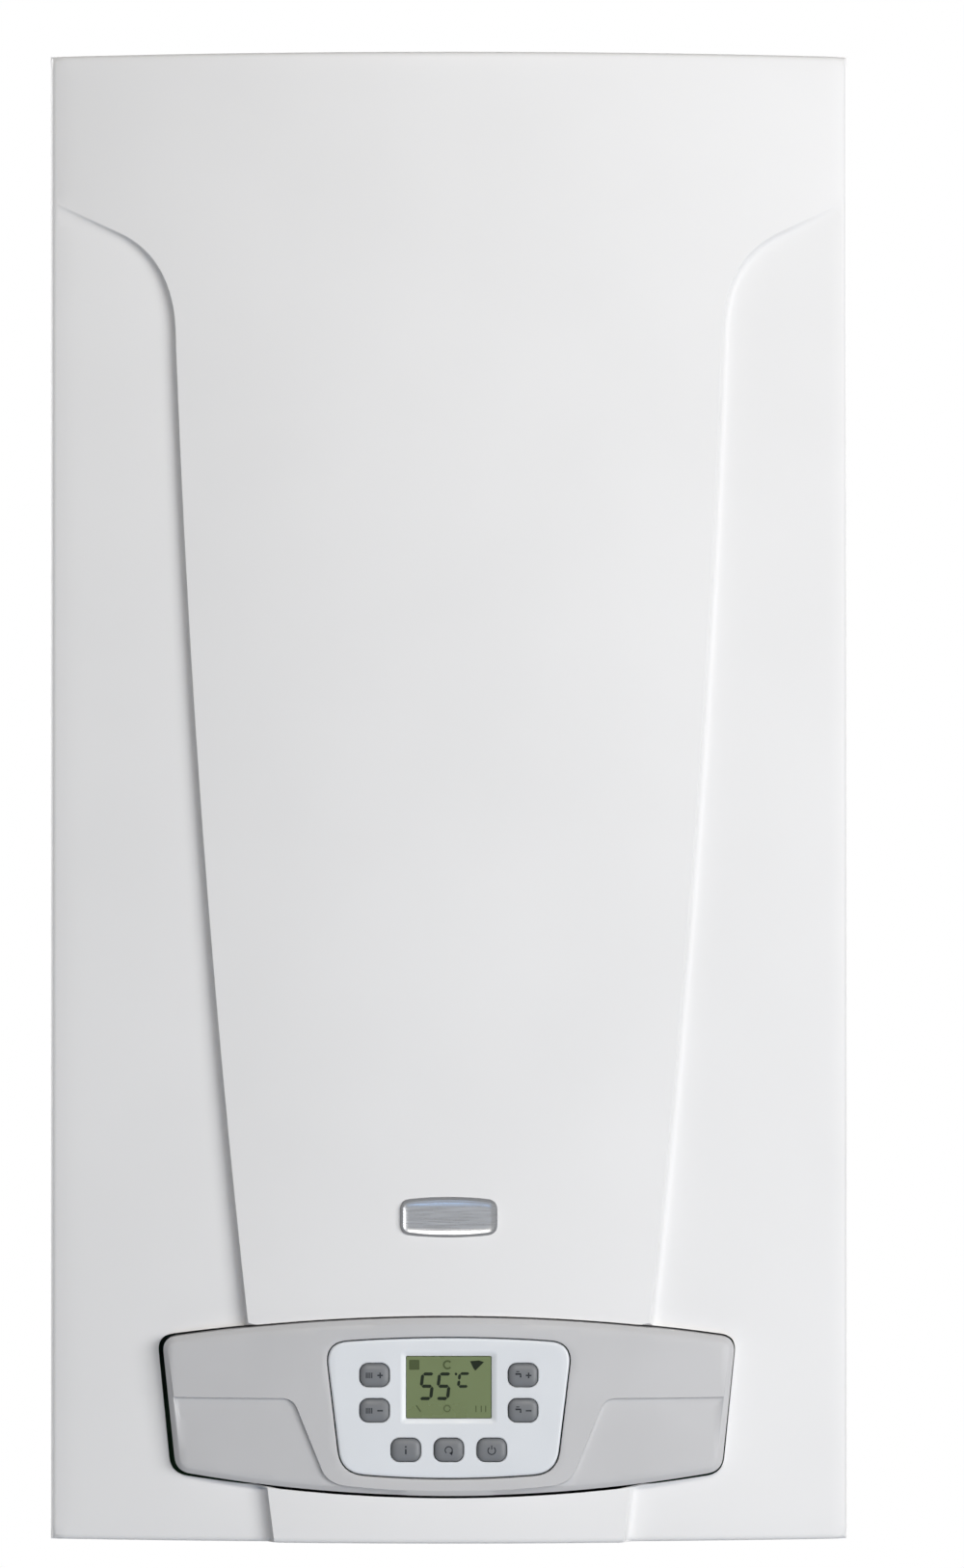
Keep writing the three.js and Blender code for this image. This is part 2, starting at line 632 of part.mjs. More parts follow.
const FASCIA = {
  halfTop: FASCIA_HALF_TOP,
  halfBottom: FASCIA_HALF_BOTTOM,
  midZ: FASCIA_MID_Z,
  sideHeight: FASCIA_SIDE_HEIGHT,
  bow: FASCIA_BOW,
  corner: FASCIA_CORNER,
};
const BEZEL = {
  steps: 6,
  halfTop: BEZEL_HALF_TOP,
  halfBottom: BEZEL_HALF_BOTTOM,
  midZ: BEZEL_MID_Z,
  sideHeight: BEZEL_SIDE_HEIGHT,
  bow: BEZEL_BOW,
  corner: BEZEL_CORNER,
};
const BADGE = {
  steps: 6,
  halfTop: BADGE_HALF,
  halfBottom: BADGE_HALF,
  midZ: BADGE_Z,
  sideHeight: BADGE_HEIGHT,
  bow: BADGE_BOW,
  corner: BADGE_CORNER,
};
const PANEL_MIDDLE = EDGE_DEPTH + CROWN;
const RETURN_BACK = EDGE_DEPTH - PANEL_RETURN;

function frontPanel() {
  const sides = both((s) =>
    box([s * HALF, s * (HALF - SHEET)], [-RETURN_BACK, -(EDGE_DEPTH - EDGE_ROUND + 0.1)], [0, CASE_HEIGHT]),
  );
  const flangeBack = EDGE_DEPTH - TOP_FLANGE + PANEL_RETURN / 2;
  const top = flange(ROWS.at(-1), CASE_HEIGHT - SHEET, flangeBack);
  const foot = flange(ROWS[0], 0, flangeBack);
  const opening = fromFront(barrel(FASCIA, FASCIA_GAP), RETURN_BACK, PANEL_MIDDLE + 1);
  const shell = join(pressedSheet(), ...sides, top, foot).subtract(opening);
  const screws = both((s) => [s * PANEL_SCREW_X, -(flangeBack + TOP_FLANGE / 4), -1]);
  return drill(shell, PANEL_SCREW_R, SHEET + 2, screws, "z");
}

// A bare plate that follows the crown behind it.
function badge() {
  const plate = fromFront(barrel(BADGE), PANEL_MIDDLE - 2, PANEL_MIDDLE + BADGE_PROUD, 1);
  return plate.subtract(crownedBlock(FIT));
}

// Everything behind the crowned field, raised by a height. It trims what sits on the panel.
function crownedBlock(raise) {
  const xs = [-1, -0.8, -0.6, -0.4, -0.2, 0, 0.2, 0.4, 0.6, 0.8, 1].map((share) => share * HALF);
  const line = xs.map((x) => [x, -(fieldDepth(x) + raise)]);
  return fromAbove(polygon([[-HALF, -RETURN_BACK], ...line, [HALF, -RETURN_BACK]]), -1, CASE_HEIGHT + 1);
}

// ---------------------------------------------------------------- side panels
// Sheet with a lip along the wall and, behind the front panel's return, a stepped edge with a lip.
function sidePanel(s) {
  const x = (inward) => s * (HALF - inward);
  const seam = RETURN_BACK - 2;
  const lapFace = SHEET + FIT;
  const lapEnd = seam + SIDE_LAP;
  const wall = 1;
  const sheet = polygon([
    [x(0), -wall],
    [x(0), -seam],
    [x(lapFace), -seam],
    [x(lapFace), -(seam - SHEET)],
    [x(SHEET), -(seam - SHEET)],
    [x(SHEET), -(wall + SHEET)],
    [x(SIDE_LIP), -(wall + SHEET)],
    [x(SIDE_LIP), -wall],
  ]);
  const lap = polygon([
    [x(lapFace), -(seam - SHEET)],
    [x(lapFace), -lapEnd],
    [x(lapFace + SIDE_LIP), -lapEnd],
    [x(lapFace + SIDE_LIP), -(lapEnd - SHEET)],
    [x(lapFace + SHEET), -(lapEnd - SHEET)],
    [x(lapFace + SHEET), -(seam - SHEET)],
  ]);
  const clearOfFlange = 2 * SHEET;
  const lips = [[0, SHEET], [CASE_HEIGHT - SHEET, CASE_HEIGHT]].map((z) =>
    box([x(0.2), x(SIDE_LIP)], [-(wall + 0.2), -seam], z),
  );
  return join(
    fromAbove(sheet, 0, CASE_HEIGHT),
    fromAbove(lap, clearOfFlange, CASE_HEIGHT - clearOfFlange),
    ...lips,
  );
}

// ---------------------------------------------------------------- chassis
const FRAME_FACE = FRAME_OFF_WALL + FRAME_SHEET;
const FRAME_HALF = HALF - SHEET - FIT;
const FRAME_TOP = CASE_HEIGHT - FRAME_TOP_GAP;

function backFrame() {
  const plate = box([-FRAME_HALF, FRAME_HALF], [-FRAME_FACE, -FRAME_OFF_WALL], [FRAME_BOTTOM, FRAME_TOP]);
  const wings = both((s) =>
    box(
      [s * FRAME_HALF, s * (FRAME_HALF - FRAME_SHEET)],
      [-(CHAMBER_BACK - FIT), -FRAME_OFF_WALL],
      [FRAME_BOTTOM, FRAME_TOP],
    ),
  );
  const restHalf = HALF - SIDE_LIP - 2;
  const wallRest = box([-restHalf, restHalf], [-FRAME_FACE, 0], [FRAME_BOTTOM, FRAME_BOTTOM + FRAME_SHEET]);
  const ribBottom = FRAME_BOTTOM + 60;
  const ribLength = HANG_Z - BRACKET_HEIGHT - ribBottom - 20;
  const rib = (s, r, from) => bar(r, ribLength, [s * RIB_X, -from, ribBottom], "z");
  let frame = join(plate, ...wings, wallRest, ...both((s) => rib(s, RIB_R, FRAME_OFF_WALL)));
  const pressing = RIB_R - FRAME_SHEET;
  const trough = (s) =>
    bar(pressing, ribLength - 2 * FRAME_SHEET, [s * RIB_X, -FRAME_OFF_WALL, ribBottom + FRAME_SHEET], "z");
  const aheadHalf = FRAME_HALF - 2;
  const ahead = box([-aheadHalf, aheadHalf], [-FRAME_FACE, -FRAME_FACE - RIB_R], [ribBottom - 1, HANG_Z]);
  frame = frame.subtract(ahead);
  both((s) => (frame = frame.subtract(trough(s))));
  const slotHalf = HOOK_WIDTH / 2 + 2;
  for (const s of [-1, 1]) {
    const slot = box(
      [s * HOOK_X - slotHalf, s * HOOK_X + slotHalf],
      [-FRAME_FACE - 1, -FRAME_OFF_WALL + 1],
      [HANG_Z - HOOK_LIP - 3, HANG_Z + BRACKET_SHEET / 2 + FIT],
    );
    frame = frame.subtract(slot);
  }
  return frame;
}

function wallBracket() {
  const bracketHalf = BRACKET_WIDTH / 2;
  const plate = box(
    [-bracketHalf, bracketHalf],
    [-BRACKET_SHEET, 0],
    [HANG_Z - BRACKET_HEIGHT / 2, HANG_Z + BRACKET_HEIGHT / 2],
  );
  const lipBack = FRAME_FACE + FIT + 1;
  const hooks = [-1, 1].flatMap((s) => {
    const x = [s * HOOK_X - HOOK_WIDTH / 2, s * HOOK_X + HOOK_WIDTH / 2];
    const shelf = [HANG_Z - BRACKET_SHEET / 2, HANG_Z + BRACKET_SHEET / 2];
    return [
      box(x, [-lipBack - BRACKET_SHEET, -1], shelf),
      box(x, [-lipBack - BRACKET_SHEET, -lipBack], [shelf[0], shelf[1] + HOOK_LIP]),
    ];
  });
  const screwSlots = [-1, 1].map((s) =>
    fromFront(
      softBox(s * BRACKET_SLOT_X, HANG_Z, BRACKET_SLOT, 2 * BRACKET_SLOT_R, BRACKET_SLOT_R * 0.99),
      -1,
      BRACKET_SHEET + 1,
    ),
  );
  return screwSlots.reduce((left, slot) => left.subtract(slot), join(plate, ...hooks));
}

// The rail carries the pipe connections. Its side arms carry the control box's pins.
function pipeRail() {
  const back = FRAME_FACE + FIT;
  const railHalf = FRAME_HALF - FRAME_SHEET - FIT;
  const deck = box([-railHalf, railHalf], [-RAIL_FRONT, -back], [RAIL_Z, RAIL_Z + RAIL_SHEET]);
  const lip = box([-railHalf, railHalf], [-back - RAIL_SHEET, -back], [RAIL_Z - 16, RAIL_Z + 1]);
  const armFoot = HINGE_Z - 9;
  const arms = both((s) =>
    box(
      [s * ARM_X, s * (ARM_X + RAIL_SHEET)],
      [-(RAIL_FRONT + ARM_LENGTH), -back],
      [armFoot, RAIL_Z + RAIL_SHEET],
    ),
  );
  let rail = join(deck, lip, ...arms);
  PORTS.forEach(({ x, radius }) => {
    rail = drill(rail, radius + RUNNING, RAIL_SHEET + 2, [[x, PORT_Y, RAIL_Z - 1]], "z");
  });
  const pinHoles = [[-(ARM_X + RAIL_SHEET + 1), HINGE_Y, HINGE_Z], [ARM_X - 1, HINGE_Y, HINGE_Z]];
  return drill(rail, HINGE_PIN_R + RUNNING, RAIL_SHEET + 2, pinHoles, "x");
}

// ---------------------------------------------------------------- sealed chamber
const CHAMBER_TOP = CASE_HEIGHT - CHAMBER_TOP_GAP;
const CHAMBER_FACE = CHAMBER_BACK + FRAME_SHEET;

function chamberBox() {
  const wall = FRAME_SHEET;
  const z = [CHAMBER_BOTTOM, CHAMBER_TOP];
  const outer = box([-CHAMBER_HALF, CHAMBER_HALF], [-CHAMBER_FRONT, -CHAMBER_BACK], z);
  const wings = box([-FRAME_HALF, FRAME_HALF], [-CHAMBER_FACE, -CHAMBER_BACK], z);
  const rim = box(
    [-CHAMBER_HALF - CHAMBER_FLANGE, CHAMBER_HALF + CHAMBER_FLANGE],
    [-CHAMBER_FRONT, -CHAMBER_FRONT + wall],
    [CHAMBER_BOTTOM - CHAMBER_FLANGE, CHAMBER_TOP],
  );
  const hollow = box(
    [-CHAMBER_HALF + wall, CHAMBER_HALF - wall],
    [-CHAMBER_FRONT - 1, -CHAMBER_FACE],
    [CHAMBER_BOTTOM + wall, CHAMBER_TOP - wall],
  );
  const lidHalf = FRAME_HALF - wall - FIT;
  const lidZ = [CHAMBER_TOP - wall, CHAMBER_TOP];
  const lid = box([-lidHalf, lidHalf], [-CHAMBER_FACE, -(FRAME_FACE + FIT)], lidZ);
  let tub = join(outer, wings, rim, lid).subtract(hollow);
  tub = drill(tub, AIR_R, wall + 2, [[0, FLUE_Y, CHAMBER_TOP - wall - 1]], "z", WIDE_SIDES);
  const throughFloor = (x, y) => [x, y, CHAMBER_BOTTOM - 1];
  tub = drill(tub, PIPE_R + RUNNING, wall + 2, both((s) => throughFloor(s * RISER_X, RISER_Y)), "z");
  return drill(tub, GAS_PIPE_R + RUNNING, wall + 2, [throughFloor(0, GAS_RISER_Y)], "z");
}

function chamberCover() {
  const back = CHAMBER_FRONT + FIT;
  const half = CHAMBER_HALF + CHAMBER_FLANGE;
  const z = [CHAMBER_BOTTOM - CHAMBER_FLANGE, CHAMBER_TOP];
  const plate = box([-half, half], [-(back + FRAME_SHEET), -back], z);
  const pressedFace = (grow, back2, front2) =>
    fromFront(
      softBox(0, (z[0] + z[1]) / 2, 2 * (CHAMBER_HALF - 14 + grow), z[1] - z[0] - 46 + 2 * grow, 16 + grow),
      back2,
      front2,
    );
  const raised = pressedFace(0, back, back + FRAME_SHEET + COVER_PRESSING);
  const behind = pressedFace(-FRAME_SHEET, back - 1, back + COVER_PRESSING);
  const cover = join(plate, raised).subtract(behind);
  return drill(cover, SIGHT_R - 4, COVER_DEPTH + 4, [[SIGHT_X, -back + 1, SIGHT_Z]], "front");
}

// Flanged ring that clamps the glass against the cover.
function sightGlass() {
  const seat = CHAMBER_FRONT + FIT + FRAME_SHEET + COVER_PRESSING + FIT;
  const neck = SIGHT_R - 4 - FIT;
  return turned(
    [[0, -2], [neck, -2], [neck, 0], [SIGHT_R, 0], [SIGHT_R, 3], [SIGHT_R - 5, 4], [0, 2.4]],
    [SIGHT_X, -seat, SIGHT_Z],
    "front",
  );
}

// ---------------------------------------------------------------- flue and fan
function flueCollar() {
  return turned(
    [
      [AIR_R, 0],
      [AIR_R + COLLAR_FLANGE, 0],
      [AIR_R + COLLAR_FLANGE, 2],
      [AIR_R + 2.5, 2],
      [AIR_R + 2.5, COLLAR_HEIGHT - 1],
      [AIR_R + 1.5, COLLAR_HEIGHT],
      [AIR_R, COLLAR_HEIGHT],
    ],
    [0, FLUE_Y, CHAMBER_TOP + FIT],
    "z",
    WIDE_SIDES,
  );
}

// Scroll outline about the fan's axle, with a square mouth going up on the right. offset draws it inwards.
function scrollOutline(offset) {
  const shape = new THREE.Shape();
  const widest = FLUE_R - SCROLL_X;
  const start = Math.acos((-FLUE_R + offset - SCROLL_X) / (SCROLL_R - offset));
  const steps = 20;
  for (let i = 0; i <= steps; i++) {
    const share = i / steps;
    const angle = start + (2 * Math.PI - start) * share;
    const radius = SCROLL_R + (widest - SCROLL_R) * share - offset;
    const [x, z] = [SCROLL_X + radius * Math.cos(angle), SCROLL_Z + radius * Math.sin(angle)];
    if (i === 0) shape.moveTo(x, z);
    else shape.lineTo(x, z);
  }
  shape.lineTo(FLUE_R - offset, SCROLL_TOP - offset);
  shape.lineTo(-FLUE_R + offset, SCROLL_TOP - offset);
  return shape;
}

const SCROLL_TOP = CHAMBER_TOP - 18; // the scroll's square mouth, which carries the round outlet
const OUTLET_R = SCROLL_DEPTH / 2 - 1;
const SCROLL_BACK = -FLUE_Y - SCROLL_DEPTH / 2;
const SCROLL_FRONT = -FLUE_Y + SCROLL_DEPTH / 2;

function fanHousing() {
  const outletBottom = SCROLL_TOP - 4;
  const outletTop = CHAMBER_TOP + COLLAR_HEIGHT - 4;
  const outer = fromFront(scrollOutline(0), SCROLL_BACK, SCROLL_FRONT);
  const inner = fromFront(scrollOutline(FLUE_WALL), SCROLL_BACK + FLUE_WALL, SCROLL_FRONT - FLUE_WALL);
  const outlet = bar(OUTLET_R, outletTop - outletBottom, [0, FLUE_Y, outletBottom], "z", WIDE_SIDES);
  const bore = [0, FLUE_Y, outletBottom - 2];
  const eye = [SCROLL_X, -SCROLL_BACK + 1, SCROLL_Z];
  const shaftHole = [SCROLL_X, -SCROLL_FRONT + 5, SCROLL_Z];
  let housing = join(outer, outlet).subtract(inner);
  housing = drill(housing, OUTLET_R - FLUE_WALL, outletTop - outletBottom + 4, [bore], "z", WIDE_SIDES);
  housing = drill(housing, FAN_INLET_R, 6, [eye], "front", WIDE_SIDES);
  return drill(housing, 6, 10, [shaftHole], "front");
}

// Forward-curved wheel: back disc, ring and blades, on a stub that runs into the motor.
function fanImpeller() {
  const back = SCROLL_BACK + 6;
  const front = back + IMPELLER_DEPTH;
  const shaftEnd = SCROLL_FRONT + FIT + FAN_BEARING - 2 - (front - 1.5);
  const disc = turned(
    [
      [0, 0], [IMPELLER_R, 0], [IMPELLER_R, 1.5], [14, 1.5], [9, 6], [FAN_SHAFT_R, 6],
      [FAN_SHAFT_R, shaftEnd], [0, shaftEnd],
    ],
    [SCROLL_X, -front + 1.5, SCROLL_Z],
    "front",
    WIDE_SIDES,
  );
  const ring = sleeve(IMPELLER_R - 9, IMPELLER_R, 1.5, [SCROLL_X, -back, SCROLL_Z], "front", WIDE_SIDES);
  const blades = Array.from({ length: BLADES }, (_, i) => {
    const blade = new THREE.BoxGeometry(9, IMPELLER_DEPTH - 0.6, 1.2);
    blade.rotateY(0.6).translate(IMPELLER_R - 5.5, 0, 0).rotateY((2 * Math.PI * i) / BLADES);
    return solidOf(blade.translate(SCROLL_X, -(back + front) / 2, SCROLL_Z));
  });
  return join(disc, ring, ...blades);
}

function fanMotor() {
  const back = SCROLL_FRONT + FIT;
  const bore = FAN_SHAFT_R + RUNNING;
  const can = turned(
    [
      [bore, 0], [12, 0], [12, 3], [FAN_MOTOR_R - 4, 3], [FAN_MOTOR_R, 7],
      [FAN_MOTOR_R, FAN_MOTOR_DEPTH - 8],
      [FAN_MOTOR_R - 6, FAN_MOTOR_DEPTH - 2], [8, FAN_MOTOR_DEPTH], [0, FAN_MOTOR_DEPTH],
      [0, FAN_BEARING], [bore, FAN_BEARING],
    ],
    [SCROLL_X, -back, SCROLL_Z],
    "front",
    WIDE_SIDES,
  );
  const legs = [0, 1, 2].map((i) => {
    const leg = new THREE.BoxGeometry(8, 5, SCROLL_R - 14).translate(0, 0, SCROLL_R / 2);
    leg.rotateY((2 * Math.PI * i) / 3);
    return solidOf(leg.translate(SCROLL_X, -back - 2.5, SCROLL_Z));
  });
  const shaftRoom = bar(6, 12, [SCROLL_X, -back + 1, SCROLL_Z], "front");
  return join(can, ...legs.map((leg) => leg.subtract(shaftRoom)));
}

// ---------------------------------------------------------------- hood, exchanger, hearth and burner
const HEARTH_BACK = CHAMBER_FACE + FIT;
const EXCHANGER_BOTTOM = HEARTH_BOTTOM + HEARTH_HEIGHT + FIT;
const HOOD_BOTTOM = EXCHANGER_BOTTOM + EXCHANGER_HEIGHT + FIT;
const PLENUM_FRONT = SCROLL_BACK - FIT;

function flueHood() {
  const shoulder = HOOD_BOTTOM + 16;
  const top = SCROLL_Z + FAN_INLET_R + 14;
  const side = (w) =>
    polygon([
      [-HEARTH_BACK - w, HOOD_BOTTOM - (w ? 1 : 0)],
      [-HEARTH_BACK - w, top - w],
      [-PLENUM_FRONT + w, top - w],
      [-PLENUM_FRONT + w, shoulder - w],
      [-HEARTH_FRONT + w, HOOD_BOTTOM + HOOD_SLOPE_Z - w],
      [-HEARTH_FRONT + w, HOOD_BOTTOM - (w ? 1 : 0)],
    ]);
  const front = (w) =>
    polygon([
      [-HEARTH_HALF + w, HOOD_BOTTOM - 2],
      [-HEARTH_HALF + w, HOOD_BOTTOM + 12],
      [SCROLL_X - 62 + w, SCROLL_Z - 16],
      [SCROLL_X - 48 + w, top + 1 - w],
      [SCROLL_X + 48 - w, top + 1 - w],
      [SCROLL_X + 62 - w, SCROLL_Z - 16],
      [HEARTH_HALF - w, HOOD_BOTTOM + 12],
      [HEARTH_HALF - w, HOOD_BOTTOM - 2],
    ]);
  const skin = (w) =>
    fromSide(side(w), -HEARTH_HALF - 1, HEARTH_HALF + 1)
      .intersect(fromFront(front(w), HEARTH_BACK - 2, HEARTH_FRONT + 2));
  const hood = skin(0).subtract(skin(HOOD_WALL));
  return drill(hood, FAN_INLET_R, 6, [[SCROLL_X, -PLENUM_FRONT + 3, SCROLL_Z]], "front", WIDE_SIDES);
}

const TUBE_Z = EXCHANGER_BOTTOM + EXCHANGER_HEIGHT / 2;
const TUBE_YS = [-1.5, -0.5, 0.5, 1.5].map((n) => -(HEARTH_BACK + HEARTH_FRONT) / 2 + n * TUBE_PITCH);

// Finned block in a frame, with a straight tube end or a return bend on each side.
function primaryExchanger() {
  const end = 2.5;
  const finHalf = HEARTH_HALF - HEARTH_WALL;
  const pitch = (2 * finHalf) / (FINS + 1);
  const webTop = TUBE_Z + FIN_WEB / 2;
  const webFoot = TUBE_Z - FIN_WEB / 2;
  const finTop = EXCHANGER_BOTTOM + EXCHANGER_HEIGHT - 3;
  const finFoot = EXCHANGER_BOTTOM + 3;
  const upper = [];
  const lower = [];
  for (let i = 1; i <= FINS; i++) {
    const left = -finHalf + i * pitch - FIN_THICKNESS / 2;
    const right = left + FIN_THICKNESS;
    upper.push([left, webTop], [left, finTop], [right, finTop], [right, webTop]);
    lower.push([left, webFoot], [left, finFoot], [right, finFoot], [right, webFoot]);
  }
  const comb = fromFront(
    polygon([
      [-finHalf - 1, webFoot],
      ...lower,
      [finHalf + 1, webFoot],
      [finHalf + 1, webTop],
      ...upper.reverse(),
      [-finHalf - 1, webTop],
    ]),
    HEARTH_BACK + end,
    HEARTH_FRONT - end,
  );
  const z = [EXCHANGER_BOTTOM, EXCHANGER_BOTTOM + EXCHANGER_HEIGHT];
  const frame = box([-HEARTH_HALF, HEARTH_HALF], [-HEARTH_FRONT, -HEARTH_BACK], z).subtract(
    box([-finHalf, finHalf], [-HEARTH_FRONT + end, -HEARTH_BACK - end], [z[0] - 1, z[1] + 1]),
  );
  const bend = (s, a, b) =>
    pipe([[s * (HEARTH_HALF - 2), a, TUBE_Z], [s * TUBE_X, a, TUBE_Z], [s * TUBE_X, b, TUBE_Z],
      [s * (HEARTH_HALF - 2), b, TUBE_Z]], TUBE_PITCH / 2 - 1, TUBE_R, 10);
  const stub = (s) => bar(TUBE_R, 12, [s * (HEARTH_HALF - 2), TUBE_YS[0], TUBE_Z], "x");
  const leftStub = bar(TUBE_R, 12, [-HEARTH_HALF - 10, TUBE_YS[0], TUBE_Z], "x");
  const bends = [bend(-1, TUBE_YS[1], TUBE_YS[2]), bend(1, TUBE_YS[2], TUBE_YS[3])];
  return join(comb, frame, ...bends, stub(1), leftStub);
}

function combustionBox() {
  const z = [HEARTH_BOTTOM, HEARTH_BOTTOM + HEARTH_HEIGHT];
  const inner = HEARTH_HALF - HEARTH_WALL;
  let hearth = box([-HEARTH_HALF, HEARTH_HALF], [-HEARTH_FRONT, -HEARTH_BACK], z).subtract(
    box([-inner, inner], [-HEARTH_FRONT + HEARTH_WALL, -HEARTH_BACK - HEARTH_WALL], [z[0] - 1, z[1] + 1]),
  );
  const gasWay = box([-inner, inner], [-HEARTH_FRONT - 1, -HEARTH_FRONT + HEARTH_WALL + 1],
    [z[0] - 1, RAIL_TUBE_Z + GAS_RAIL_R + 2]);
  hearth = hearth.subtract(gasWay);
  const window = [SIGHT_X, -HEARTH_FRONT + HEARTH_WALL + 1, SIGHT_Z];
  hearth = drill(hearth, SIGHT_R - 6, HEARTH_WALL + 2, [window], "front");
  const probes = both((s) => [s * ELECTRODE_X, -HEARTH_FRONT + HEARTH_WALL + 1, PROBE_Z]);
  return drill(hearth, ELECTRODE_R + FIT, HEARTH_WALL + 2, probes, "front");
}

// Row of upright burner bars between end plates, tied by a front throat plate.
function burner() {
  const inner = HEARTH_HALF - HEARTH_WALL - FIT;
  const y = [-HEARTH_FRONT + HEARTH_WALL + FIT, -HEARTH_BACK - HEARTH_WALL - FIT];
  const z = [BURNER_Z, BURNER_Z + BURNER_HEIGHT];
  const ends = both((s) => box([s * inner, s * (inner - 2)], y, z));
  const pitch = (2 * inner) / BURNER_BARS;
  const throat = box([-inner, inner], [y[0], y[0] + 2], [z[0], z[0] + 18]);
  const tail = box([-inner, inner], [y[1] - 2, y[1]], [z[0], z[0] + 18]);
  const bars = Array.from({ length: BURNER_BARS }, (_, i) => {
    const x = -inner + pitch * (i + 0.5);
    const section = polygon([
      [x - 3, z[0] + 4], [x + 3, z[0] + 4], [x + 5.5, z[0] + 15], [x + 3, z[0] + 24], [x + 6, z[1] - 4],
      [x + 4, z[1]], [x - 4, z[1]], [x - 6, z[1] - 4], [x - 3, z[0] + 24], [x - 5.5, z[0] + 15],
    ]);
    const blade = fromFront(section, -y[1] + 1, -y[0] - 1);
    const ports = [0.27, 0.73].map((share) => {
      const mid = y[0] + (y[1] - y[0]) * share;
      return box([x - 2.5, x + 2.5], [mid - 18, mid + 18], [z[1] - 3, z[1] + 1]);
    });
    return ports.reduce((left, port) => left.subtract(port), blade);
  });
  const mouths = bars.map((_, i) => [-inner + pitch * (i + 0.5), y[0] + 3, z[0] + 10]);
  const rack = join(...ends, throat, tail, ...bars);
  return drill(rack, 3.4, 8, mouths, "front");
}

const RAIL_TUBE_Y = -(HEARTH_FRONT - HEARTH_WALL + GAS_RAIL_R + 4);
const RAIL_TUBE_Z = BURNER_Z + 10;
const GAS_RISER_Y = RAIL_TUBE_Y;

// Manifold tube with one injector in front of each burner bar.
function gasManifold() {
  const inner = HEARTH_HALF - HEARTH_WALL - FIT;
  const pitch = (2 * inner) / BURNER_BARS;
  const tube = bar(GAS_RAIL_R, 2 * inner - 4, [-inner + 2, RAIL_TUBE_Y, RAIL_TUBE_Z], "x");
  const reach = -(RAIL_TUBE_Y + HEARTH_FRONT - HEARTH_WALL - FIT) - FIT;
  const injectors = Array.from({ length: BURNER_BARS }, (_, i) =>
    turned(
      [[0, 2], [3.2, 2], [3.2, reach - 2.5], [1.6, reach], [0, reach]],
      [-inner + pitch * (i + 0.5), RAIL_TUBE_Y, RAIL_TUBE_Z],
      "y",
      8,
    ),
  );
  return join(tube, ...injectors);
}

// Ceramic insulator through the hearth's front wall, with a bent wire over the burner.
function electrode() {
  const front = HEARTH_FRONT + 9;
  const body = turned(
    [[0, 0], [ELECTRODE_R - 1, 0], [ELECTRODE_R, 2], [ELECTRODE_R, HEARTH_WALL + 10], [7, HEARTH_WALL + 10],
      [7, HEARTH_WALL + 13], [3, HEARTH_WALL + 19], [0, HEARTH_WALL + 19]],
    [0, -(front - HEARTH_WALL - 19 + FIT), PROBE_Z],
    "front",
  );
  const tip = -(front - HEARTH_WALL - 22);
  const wire = pipe([[0, tip - 6, PROBE_Z], [0, tip + 14, PROBE_Z], [0, tip + 18, PROBE_Z - 7]], 3, 1.2, 8);
  return join(body, wire);
}

function airPressureSwitch() {
  const back = CHAMBER_FACE + FIT;
  const can = turned(
    [
      [0, 0], [20, 0], [20, 5], [SWITCH_R - 2, 8], [SWITCH_R, 12], [SWITCH_R, 17],
      [SWITCH_R - 3, 21], [14, 25], [14, 31], [0, 31],
    ],
    [SWITCH_X, -back, SWITCH_Z],
    "front",
    WIDE_SIDES,
  );
  const spoutFoot = SWITCH_Z - SWITCH_R - 15;
  const spouts = both((s) => bar(2.6, 18, [SWITCH_X + s * 8, -(back + 15), spoutFoot], "z"));
  return join(can, ...spouts);
}

// ---------------------------------------------------------------- expansion vessel
// Two dished steel halves rolled together at a seam, with a flat boss against the back plate. wall draws
// the outline inwards.
function vesselOutline(wall) {
  const seam = VESSEL_DEPTH / 2;
  const rim = VESSEL_R - wall;
  return [
    [0, wall], [VESSEL_R - 44, wall + 6], [rim - 16, wall + 13], [rim - 5, wall + 24],
    [rim - 3, seam - 4], [rim, seam - 3], [rim, seam + 3], [rim - 3, seam + 4],
    [rim - 5, VESSEL_DEPTH - 22 - wall], [rim - 16, VESSEL_DEPTH - 10 - wall],
    [rim - 46, VESSEL_DEPTH - 3 - wall], [0, VESSEL_DEPTH - wall],
  ];
}

function expansionVessel() {
  const centre = [0, -(FRAME_FACE + FIT), VESSEL_Z];
  const sides = 1.6 * WIDE_SIDES;
  const outside = turned(vesselOutline(0), centre, "front", Math.round(sides));
  const inside = turned(vesselOutline(VESSEL_WALL), centre, "front", Math.round(sides));
  const boss = bar(26, 8, centre, "front", WIDE_SIDES);
  const nut = bar(10, 20, [VESSEL_PIPE_X, VESSEL_PIPE_Y, VESSEL_FOOT - 8], "z", 6);
  const shell = join(outside, boss, nut).subtract(inside);
  return drill(shell, THIN_PIPE_R - 1, 40, [[VESSEL_PIPE_X, VESSEL_PIPE_Y, VESSEL_FOOT - 9]], "z");
}

const VESSEL_PIPE_Y = -(FRAME_FACE + FIT + VESSEL_DEPTH / 2);
const VESSEL_FOOT = VESSEL_Z - Math.sqrt((VESSEL_R - 4) ** 2 - VESSEL_PIPE_X ** 2);

const vesselPipe = () =>
  pipe(
    [
      [VESSEL_PIPE_X, VESSEL_PIPE_Y, VESSEL_FOOT - 8 - FIT],
      [VESSEL_PIPE_X, VESSEL_PIPE_Y, BLOCK_TOP + 8 + FIT],
    ],
    12,
    THIN_PIPE_R,
  );

